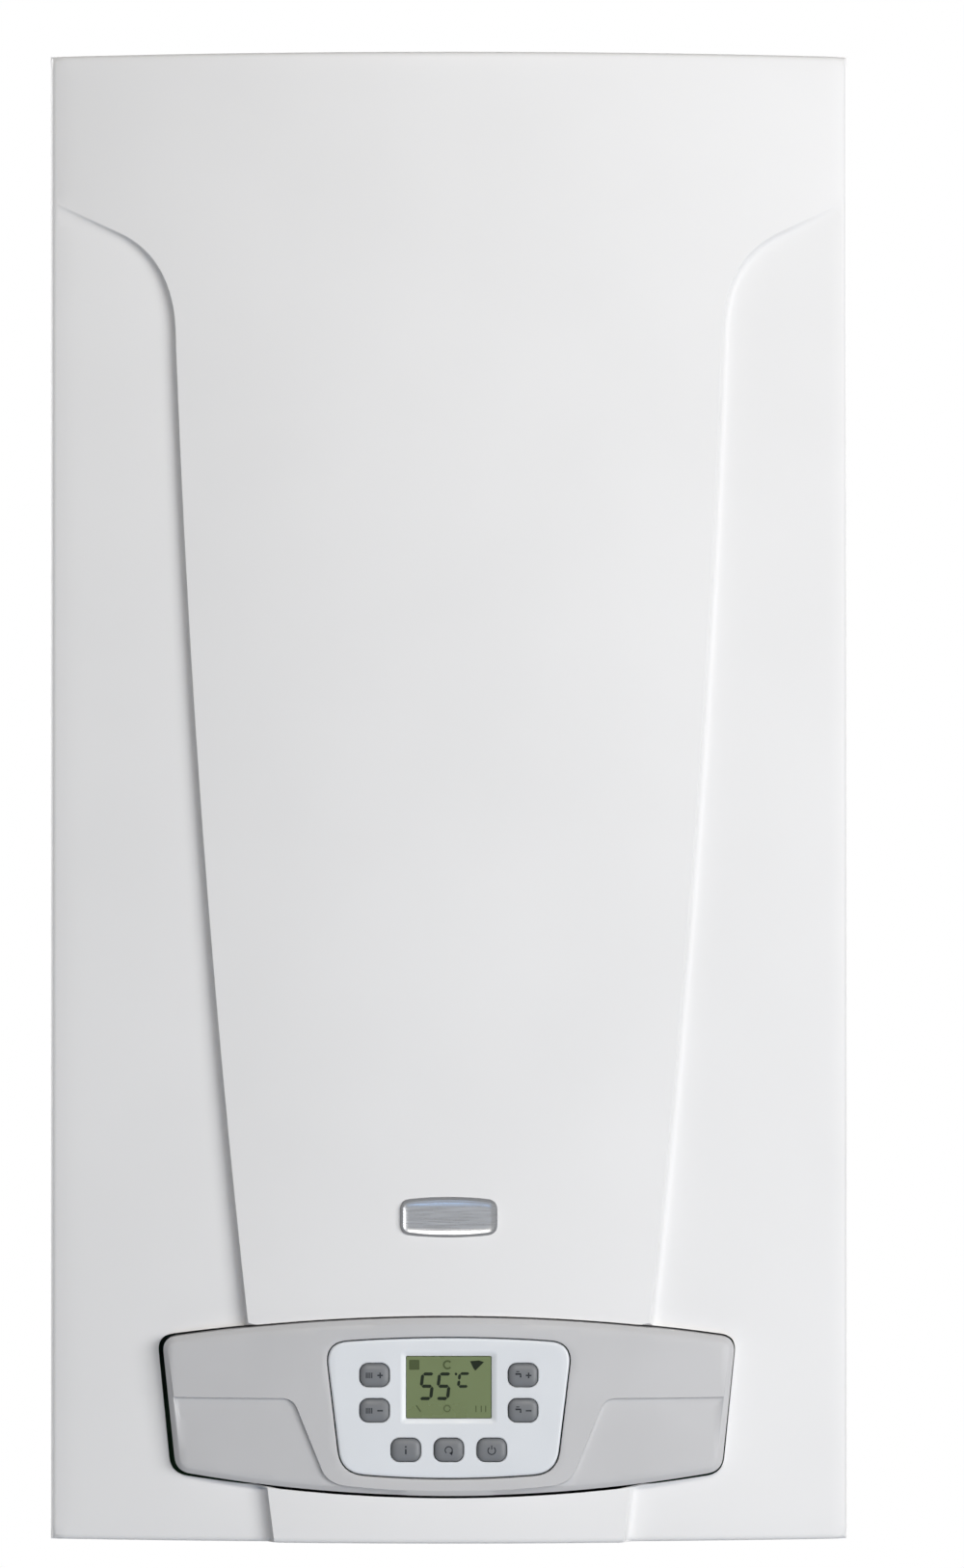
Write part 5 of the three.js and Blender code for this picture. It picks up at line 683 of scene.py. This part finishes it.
def fascia_depth(points):
    """Proud of the panel's crown, with set-back cheeks, a sloping rim and a soft inner edge."""
    x = np.abs(points[:, 0])
    folded = np.column_stack([x, points[:, 1]])
    beyond, below = FASCIA["top"] + PAST, -PAST
    around = [(CHEEK_END_X, below), (beyond, below), (beyond, CHEEK_Z)]
    low = inside(folded, CHEEK + around)
    away = distance(folded, CHEEK, closed=False)
    out = np.maximum(0, np.where(low, away, -away))
    depth = crown(x) + FASCIA_PROUD - CHEEK_STEP * (1 - np.exp(-out / CHEEK_FADE))
    rim = np.clip(1 - distance(points, barrel(FASCIA)) / RIM_WIDTH, 0, 1)
    depth -= RIM_DROP * rim * (0.8 + 0.2 * rim)
    return depth - rounding(points, barrel(BEZEL, BEZEL_GAP), SEAT_ROUND)


def fascia():
    """The grey moulding in the panel's opening."""
    lines = [ring(barrel(FASCIA, -RIM_WIDTH * s)) for s in (0.25, 0.5, 0.75, 1.0)]
    lines += [ring(barrel(BEZEL, BEZEL_GAP + SEAT_ROUND * s)) for s in (0.3, 1.0)]
    level = barrel(FASCIA, -RIM_WIDTH - 0.2)
    for shift in CHEEK_RUNS:
        run = offset(resampled(CHEEK, CHEEK_PITCH), shift)
        run = run[inside(run, level)]
        lines.append([tuple(p) for p in run])
        lines.append([(-x, z) for x, z in run])
    pressed(
        "fascia_moulding", [barrel(FASCIA), barrel(BEZEL, BEZEL_GAP)], lines, fascia_depth,
        FASCIA_PITCH, FASCIA_GREY, "control_box", "fascia",
        back=FASCIA_BACK, hole_back=BEZEL_FACE - BEZEL_DEPTH - SEAT_ROOT,
    )


fascia()
KEYS = [(s * SIDE_KEY_X, z) for s in (-1, 1) for z in SIDE_KEY_Z]
KEYS += [(n * FOOT_KEY_PITCH, FOOT_KEY_Z) for n in (-1, 0, 1)]


def key_plate():
    """White plate: rounded rim, a chamfered frame round the window and a hole for each key."""
    outline = barrel(BEZEL)
    window = soft_box(0, WINDOW_Z, *WINDOW, WINDOW_CORNER)
    lines = [ring(barrel(BEZEL, -BEZEL_ROUND * s)) for s in (0.2, 0.6, 1.0)]
    for grow in (WINDOW_FRAME / 2, WINDOW_FRAME, WINDOW_FRAME + 0.3):
        size = (WINDOW[0] + 2 * grow, WINDOW[1] + 2 * grow)
        lines.append(ring(soft_box(0, WINDOW_Z, *size, WINDOW_CORNER + 0.4 * grow)))
    wide, high = KEY[0] + 2 * KEY_GAP, KEY[1] + 2 * KEY_GAP
    corner = KEY_CORNER + KEY_GAP
    key_holes = [soft_box(x, z, wide, high, corner) for x, z in KEYS]
    for x, z in KEYS:
        lip = soft_box(x, z, wide + 2 * LIP_WIDTH, high + 2 * LIP_WIDTH, corner + LIP_WIDTH)
        lines.append(ring(lip))

    def depth(points):
        value = BEZEL_FACE - rounding(points, outline, BEZEL_ROUND)
        value = value - WINDOW_DROP * np.clip(1 - distance(points, window) / WINDOW_FRAME, 0, 1)
        for hole in key_holes:
            value = value - LIP_DROP * np.clip(1 - distance(points, hole) / LIP_WIDTH, 0, 1)
        return value

    pressed(
        "key_plate_moulding", [outline, window, *key_holes], lines, depth, BEZEL_PITCH,
        KEY_PLATE_WHITE, "control_box", "key_plate",
        back=BEZEL_FACE - BEZEL_DEPTH, hole_back=BEZEL_FACE - BEZEL_DEPTH,
    )


key_plate()


def key_pad(index, x, z):
    """Domed rubber pad."""
    outline = soft_box(x, z, *KEY, KEY_CORNER, 8)
    lines = []
    for s in (0.4, 1.0, 2.0, 3.2):
        size = (KEY[0] - 2 * s, KEY[1] - 2 * s)
        lines.append(ring(soft_box(x, z, *size, max(0.8, KEY_CORNER - s), 8)))

    def depth(points):
        share = np.clip(distance(points, outline) / KEY_DOME, 0, 1)
        return BEZEL_FACE + KEY_EDGE + (KEY_PROUD - KEY_EDGE) * np.sqrt(1 - (1 - share) ** 2)

    key = f"key_{index}"
    pressed(
        f"key_pad_{index}", [outline], lines, depth, KEY_PITCH, KEY_GREY, key, key,
        back=BEZEL_FACE - BEZEL_DEPTH - KEY_ROOT,
    )


for number, (key_x, key_z) in enumerate(KEYS, 1):
    key_pad(number, key_x, key_z)


def stamp(name, loops, face, thickness, material, body):
    """Flat printed or formed marks, one mesh, standing a hair proud of a level face."""
    verts, faces = [], []
    for loop in loops:
        first, count = len(verts), len(loop)
        area = sum(a[0] * b[1] - b[0] * a[1] for a, b in zip(loop, loop[1:] + loop[:1]))
        turned_left = list(loop) if area > 0 else list(reversed(loop))
        verts += [(x, -(face + thickness), z) for x, z in turned_left]
        verts += [(x, -face, z) for x, z in turned_left]
        faces.append(tuple(range(first, first + count)))
        faces.append(tuple(reversed(range(first + count, first + 2 * count))))
        for i in range(count):
            j = (i + 1) % count
            faces.append((first + j, first + i, first + count + i, first + count + j))
    add(name, verts, faces, material, body)


def stroke(points, width):
    """A line of even width through the points."""
    left, right = offset(points, width / 2), offset(points, -width / 2)
    return [tuple(p) for p in left] + [tuple(p) for p in right[::-1]]


def arc(mid_x, mid_z, radius, start, end, steps=14):
    """Points of an arc, between two angles in degrees."""
    angles = np.radians(np.linspace(start, end, steps))
    return [(mid_x + radius * math.cos(a), mid_z + radius * math.sin(a)) for a in angles]


def segment_bars(mark, left, foot, width, height, bar):
    """Bars of one seven-segment digit, each pointed at both ends and leaning a little."""
    ends = {
        "a": ((0, height), (width, height)),
        "b": ((width, height), (width, height / 2)),
        "c": ((width, height / 2), (width, 0)),
        "d": ((0, 0), (width, 0)),
        "e": ((0, height / 2), (0, 0)),
        "f": ((0, height), (0, height / 2)),
        "g": ((0, height / 2), (width, height / 2)),
    }
    loops = []
    for name in LIT[mark]:
        start, end = (np.array(p) for p in ends[name])
        along = (end - start) / np.hypot(*(end - start))
        side = np.array([-along[1], along[0]]) * bar / 2
        start, end = start + along * bar * BAR_GAP, end - along * bar * BAR_GAP
        point = along * bar / 2
        corners = [start, start + side + point, end + side - point, end]
        corners += [end - side - point, start - side + point]
        loops.append([(left + x + LEAN * z, foot + z) for x, z in corners])
    return loops


def display():
    """Display glass with its digits and the small marks above and below them."""
    face = BEZEL_FACE - GLASS_SUNK
    glass = soft_box(0, WINDOW_Z, WINDOW[0] - GLASS_GAP, WINDOW[1] - GLASS_GAP, GLASS_CORNER)
    pressed(
        "display_glass", [glass], [], lambda points: np.full(len(points), face), GLASS_PITCH,
        LCD, "control_box", "display_lens", back=BEZEL_FACE - BEZEL_DEPTH - GLASS_ROOT,
    )
    z0 = WINDOW_Z
    dark = segment_bars("5", -14.4, z0 - 5.6, 5.4, 12.2, 1.6)
    dark += segment_bars("5", -6.0, z0 - 5.6, 5.4, 12.2, 1.6)
    dark += segment_bars("C", 4.8, z0 + 0.4, 4.8, 6.4, 1.4)
    dark.append(arc(3.6, z0 + 6.6, 0.7, 0, 345, 10))
    fan = [(10.6, 13.0), (12.2, 9.6), (13.2, 8.2), (17.6, 12.6), (15.0, 13.4)]
    dark.append([(x, z0 + z) for x, z in fan])
    stamp("display_digits", dark, face, DIGIT_PRINT, LCD_DARK, "control_box")
    faint = [soft_box(-17.2, z0 + 11.2, 5.2, 5.0, 0.5)]
    faint.append(stroke(arc(-0.6, z0 + 11.2, 1.9, 40, 320), 0.9))
    faint.append(stroke(arc(-0.8, z0 - 10.6, 1.6, 0, 350), 0.5))
    faint.append(stroke([(-16.2, z0 - 9.0), (-14.0, z0 - 12.2)], 0.6))
    faint += [stroke([(x, z0 - 9.2), (x, z0 - 12.4)], 0.5) for x in (13.6, 16.2, 18.4)]
    stamp("display_marks", faint, face, PRINT, LCD_FAINT, "control_box")


display()


def key_marks():
    """Generic pictures on the keys: warmer and cooler, on and off, information and reset."""
    face = BEZEL_FACE + KEY_PROUD - MARK_SUNK
    tap = [stroke([(-3.8, 0.7), (-1.2, 0.7), (-1.2, -1.0)], 0.9)]
    tap.append(stroke([(-3.4, 1.9), (-1.8, 1.9)], 0.5))
    heater = [stroke([(x, -1.4), (x, 1.4)], 0.5) for x in (-4.0, -3.1, -2.2, -1.3)]
    minus = [stroke([(1.4, 0), (4.2, 0)], 0.7)]
    plus = minus + [stroke([(2.8, s * 0.4), (2.8, s * 1.4)], 0.7) for s in (1, -1)]
    power = [stroke(arc(0, -0.2, 1.9, 125, 415), 0.55), stroke([(0, 0.4), (0, 2.4)], 0.55)]
    info = [stroke([(0, -2.0), (0, 0.6)], 0.8), arc(0, 1.7, 0.5, 0, 330, 8)]
    reset = [stroke(arc(0, 0, 1.8, -60, 230), 0.55), [(1.6, -2.6), (2.2, -0.6), (0.2, -1.4)]]
    pictures = [heater + plus, heater + minus, tap + plus, tap + minus, info, reset, power]
    for index, ((x, z), loops) in enumerate(zip(KEYS, pictures), 1):
        moved = [[(x + px, z + pz) for px, pz in loop] for loop in loops]
        stamp(f"key_mark_{index}", moved, face, PRINT, KEY_PRINT, f"key_{index}")


key_marks()


def badge():
    """Bare satin plate with a raised, rounded rim."""
    outline = barrel(BADGE, 0, BADGE_STEPS)
    lines = [ring(barrel(BADGE, -s, BADGE_STEPS)) for s in (0.3, 0.9, 1.5, 2.1, 2.8)]

    def depth(points):
        away = distance(points, outline)
        rim = np.sin(np.clip(away / BADGE_RIM_WIDTH, 0, 1) * math.pi / 2) * BADGE_RIM
        dish = BADGE_DISH * np.clip((away - BADGE_DISH_FROM) / BADGE_DISH_RUN, 0, 1)
        return EDGE_DEPTH + CROWN + rim - dish

    pressed(
        "badge_plate", [outline], lines, depth, BADGE_PITCH, SATIN, "front_panel", "badge",
        back=lambda x, z: float(crown(x)) + BADGE_GAP,
    )


badge()


# ------------------------------------------------------------------ flue adapter
def turned(name, profile, middle, material, node=None, steps=96, hollow=True):
    """A turned piece on an upright axis, from the radius and height of each point of its section.

    A hollow section closes on itself. Any other gets a flat face at either end.
    """
    x, y, z = middle
    angles = [2 * math.pi * i / steps for i in range(steps)]
    verts = [(x + r * math.cos(a), y + r * math.sin(a), z + h) for r, h in profile for a in angles]
    faces = []
    for k in range(len(profile) if hollow else len(profile) - 1):
        low, high = k * steps, (k + 1) % len(profile) * steps
        for i in range(steps):
            j = (i + 1) % steps
            faces.append((low + i, low + j, high + j, high + i))
    if not hollow:
        faces.append(tuple(range(steps))[::-1])
        faces.append(tuple(len(verts) - steps + i for i in range(steps)))
    add(name, verts, faces, material, "boiler", node)


def flue_adapter():
    """Cast flange with its screws, a fillet and a spigot with a softened lip."""
    outer = FLUE_R + COLLAR_WALL
    top = COLLAR_TOP - FLANGE_FOOT
    profile = [(FLUE_R, 0), (FLANGE_R - 0.6, 0), (FLANGE_R, 0.6)]
    profile += [(FLANGE_R, FLANGE - 0.7), (FLANGE_R - 0.7, FLANGE)]
    profile += quadratic((outer + FILLET, FLANGE), (outer, FLANGE), (outer, FLANGE + FILLET), 5)
    profile += [(outer, top - 1.6), (outer - 0.3, top - 0.6), (outer - 1.0, top)]
    profile += [(FLUE_R + 0.8, top), (FLUE_R + 0.2, top - 0.3), (FLUE_R, top - 1.0)]
    turned("flue_adapter", profile, (0, FLUE_Y, FLANGE_FOOT), ALUMINIUM, "flue_collar")
    angles = np.linspace(0, SCREW_DOME, 7)
    head = [(SCREW_R * math.cos(a), SCREW_HIGH * math.sin(a)) for a in angles]
    for i in range(SCREWS):
        turn = math.pi * (0.25 + 0.5 * i)
        x, y = SCREW_RING * math.cos(turn), FLUE_Y + SCREW_RING * math.sin(turn)
        place = (x, y, FLANGE_FOOT + FLANGE + 0.02)
        turned(f"adapter_screw_{i + 1}", head, place, STAINLESS, steps=20, hollow=False)


flue_adapter()


# ------------------------------------------------------------------ CAD nodes that keep their shape
DRESS = {
    ENAMEL: ["left_side_panel", "right_side_panel"],
    ZINC: ["wall_bracket", "back_frame", "pipe_rail", "chamber_box", "chamber_cover"],
    ALUMINISED: ["fan_housing", "fan_impeller", "flue_hood"],
    COPPER: ["primary_exchanger", "vessel_pipe", "flow_riser", "return_riser", "gas_feed_pipe"],
    BRASS: [
        "heating_flow_union", "hot_water_union", "gas_union", "cold_water_union",
        "heating_return_union", "flow_block", "return_block", "relief_valve",
    ],
    ALUMINIUM: ["gas_manifold", "pump_motor", "gas_valve"],
    STAINLESS: ["burner", "diverter_plunger", "pump_rotor"],
    PLATES: ["plate_exchanger"],
    VESSEL_RED: ["expansion_vessel"],
    BLACK: [
        "fan_motor", "air_pressure_switch", "diverter_motor", "pump_casing", "pressure_gauge",
        "control_box",
    ],
    BOARD: ["display_board", "main_board"],
    CERAMIC: ["ignition_electrode", "flame_probe"],
    FIBRE: ["combustion_box"],
    RED: ["relief_knob", "gauge_needle"],
    BLUE: ["filling_knob"],
    GLASS: ["sight_glass", "gauge_lens"],
}
for finish, node_names in DRESS.items():
    for node_name in node_names:
        cad_mesh = frame["nodes"][node_name].data
        cad_mesh.materials.clear()
        cad_mesh.materials.append(finish)


# ------------------------------------------------------------------ stage, lights and camera
def seen_directly(tree):
    """1 for rays from the eye, from mirrors and through glass, 0 for the light on the object."""
    path = tree.nodes.new("ShaderNodeLightPath")
    either = path.outputs["Is Camera Ray"]
    for other in ("Is Glossy Ray", "Is Transmission Ray"):
        both = tree.nodes.new("ShaderNodeMath")
        both.operation = "MAXIMUM"
        tree.links.new(either, both.inputs[0])
        tree.links.new(path.outputs[other], both.inputs[1])
        either = both.outputs[0]
    return either


def stage():
    """Pale floor far below the casing, outside the main view. It takes shadows."""
    mesh = bpy.data.meshes.new("floor")
    angles = np.linspace(0, 2 * math.pi, 97)[:-1]
    rim = [(FLOOR_RADIUS * math.cos(a), FLOOR_RADIUS * math.sin(a), -FLOOR_DROP) for a in angles]
    mesh.from_pydata(rim, [], [list(range(len(rim)))])
    floor = bpy.data.objects.new("floor", mesh)
    bpy.context.scene.collection.objects.link(floor)
    pale = shader("pale_floor", (0.86, 0.86, 0.86), 0.9)
    tree = pale.node_tree
    glow = tree.nodes.new("ShaderNodeEmission")
    share = tree.nodes.new("ShaderNodeMath")
    share.operation = "MULTIPLY"
    share.inputs[1].default_value = FLOOR_GLOW
    tree.links.new(seen_directly(tree), share.inputs[0])
    tree.links.new(share.outputs[0], glow.inputs["Strength"])
    both = tree.nodes.new("ShaderNodeAddShader")
    tree.links.new(principled(pale).outputs[0], both.inputs[0])
    tree.links.new(glow.outputs[0], both.inputs[1])
    tree.links.new(both.outputs[0], tree.nodes["Material Output"].inputs["Surface"])
    mesh.materials.append(pale)


def world():
    """White for the eye and for mirrors and glass, softer as a light."""
    made = bpy.data.worlds.new("studio")
    bpy.context.scene.world = made
    made.use_nodes = True
    tree = made.node_tree
    back = tree.nodes["Background"]
    back.inputs["Color"].default_value = (1, 1, 1, 1)
    back.inputs["Strength"].default_value = WORLD_LIGHT
    seen = tree.nodes.new("ShaderNodeBackground")
    seen.inputs["Color"].default_value = (1, 1, 1, 1)
    mix = tree.nodes.new("ShaderNodeMixShader")
    tree.links.new(seen_directly(tree), mix.inputs["Fac"])
    tree.links.new(back.outputs[0], mix.inputs[1])
    tree.links.new(seen.outputs[0], mix.inputs[2])
    tree.links.new(mix.outputs[0], tree.nodes["World Output"].inputs["Surface"])


def lamp(name, place, width, height, power, color=(1, 1, 1)):
    """An even rectangle of light that faces the casing's middle."""
    data = bpy.data.lights.new(name, "AREA")
    data.shape = "RECTANGLE"
    data.size, data.size_y, data.energy = width, height, power
    data.color = color
    made = bpy.data.objects.new(name, data)
    made.location = place
    made.rotation_euler = (Vector(MIDDLE) - Vector(place)).to_track_quat("-Z", "Y").to_euler()
    bpy.context.scene.collection.objects.link(made)


def camera():
    """Level, straight in front, a little below the casing's middle."""
    photo_width, photo_height = 1000, 1627
    casing_px = 1538.5  # the casing's height in the photograph
    middle_px = (465.5, 827.8)  # and its middle
    px = HEIGHT * MM / casing_px
    eye = 0.366  # above the casing's bottom edge
    distance_to_wall = 3.7
    sensor_mm = 36.0
    axis_px = middle_px[1] + (HEIGHT * MM / 2 - eye) / px
    data = bpy.data.cameras.new("camera")
    data.sensor_fit = "VERTICAL"
    data.sensor_height = sensor_mm
    data.lens = sensor_mm * (distance_to_wall - EDGE_DEPTH * MM) / (photo_height * px)
    data.shift_x = (photo_width / 2 - middle_px[0]) / photo_height
    data.shift_y = (axis_px - photo_height / 2) / photo_height
    made = bpy.data.objects.new("camera", data)
    made.location = (0, -distance_to_wall, eye - HANG * MM)
    made.rotation_euler = (math.pi / 2, 0, 0)
    bpy.context.scene.collection.objects.link(made)
    bpy.context.scene.camera = made


stage()
world()
camera()
lamp("key", (5.2, -5.6, 0.1), 4.0, 3.0, 430)
lamp("high", (-0.1, -4.2, 1.5), 1.4, 0.8, 71, (1, 0.96, 0.9))
lamp("low", (-0.1, -4.0, -2.2), 1.4, 0.8, 12, (0.35, 0.6, 1))
lamp("left_back", (-3.6, 1.6, 0.6), 2.4, 2.4, 150)
lamp("right_back", (2.6, 3.6, 1.2), 2.4, 2.4, 130)
bpy.context.scene.view_settings.view_transform = "Standard"
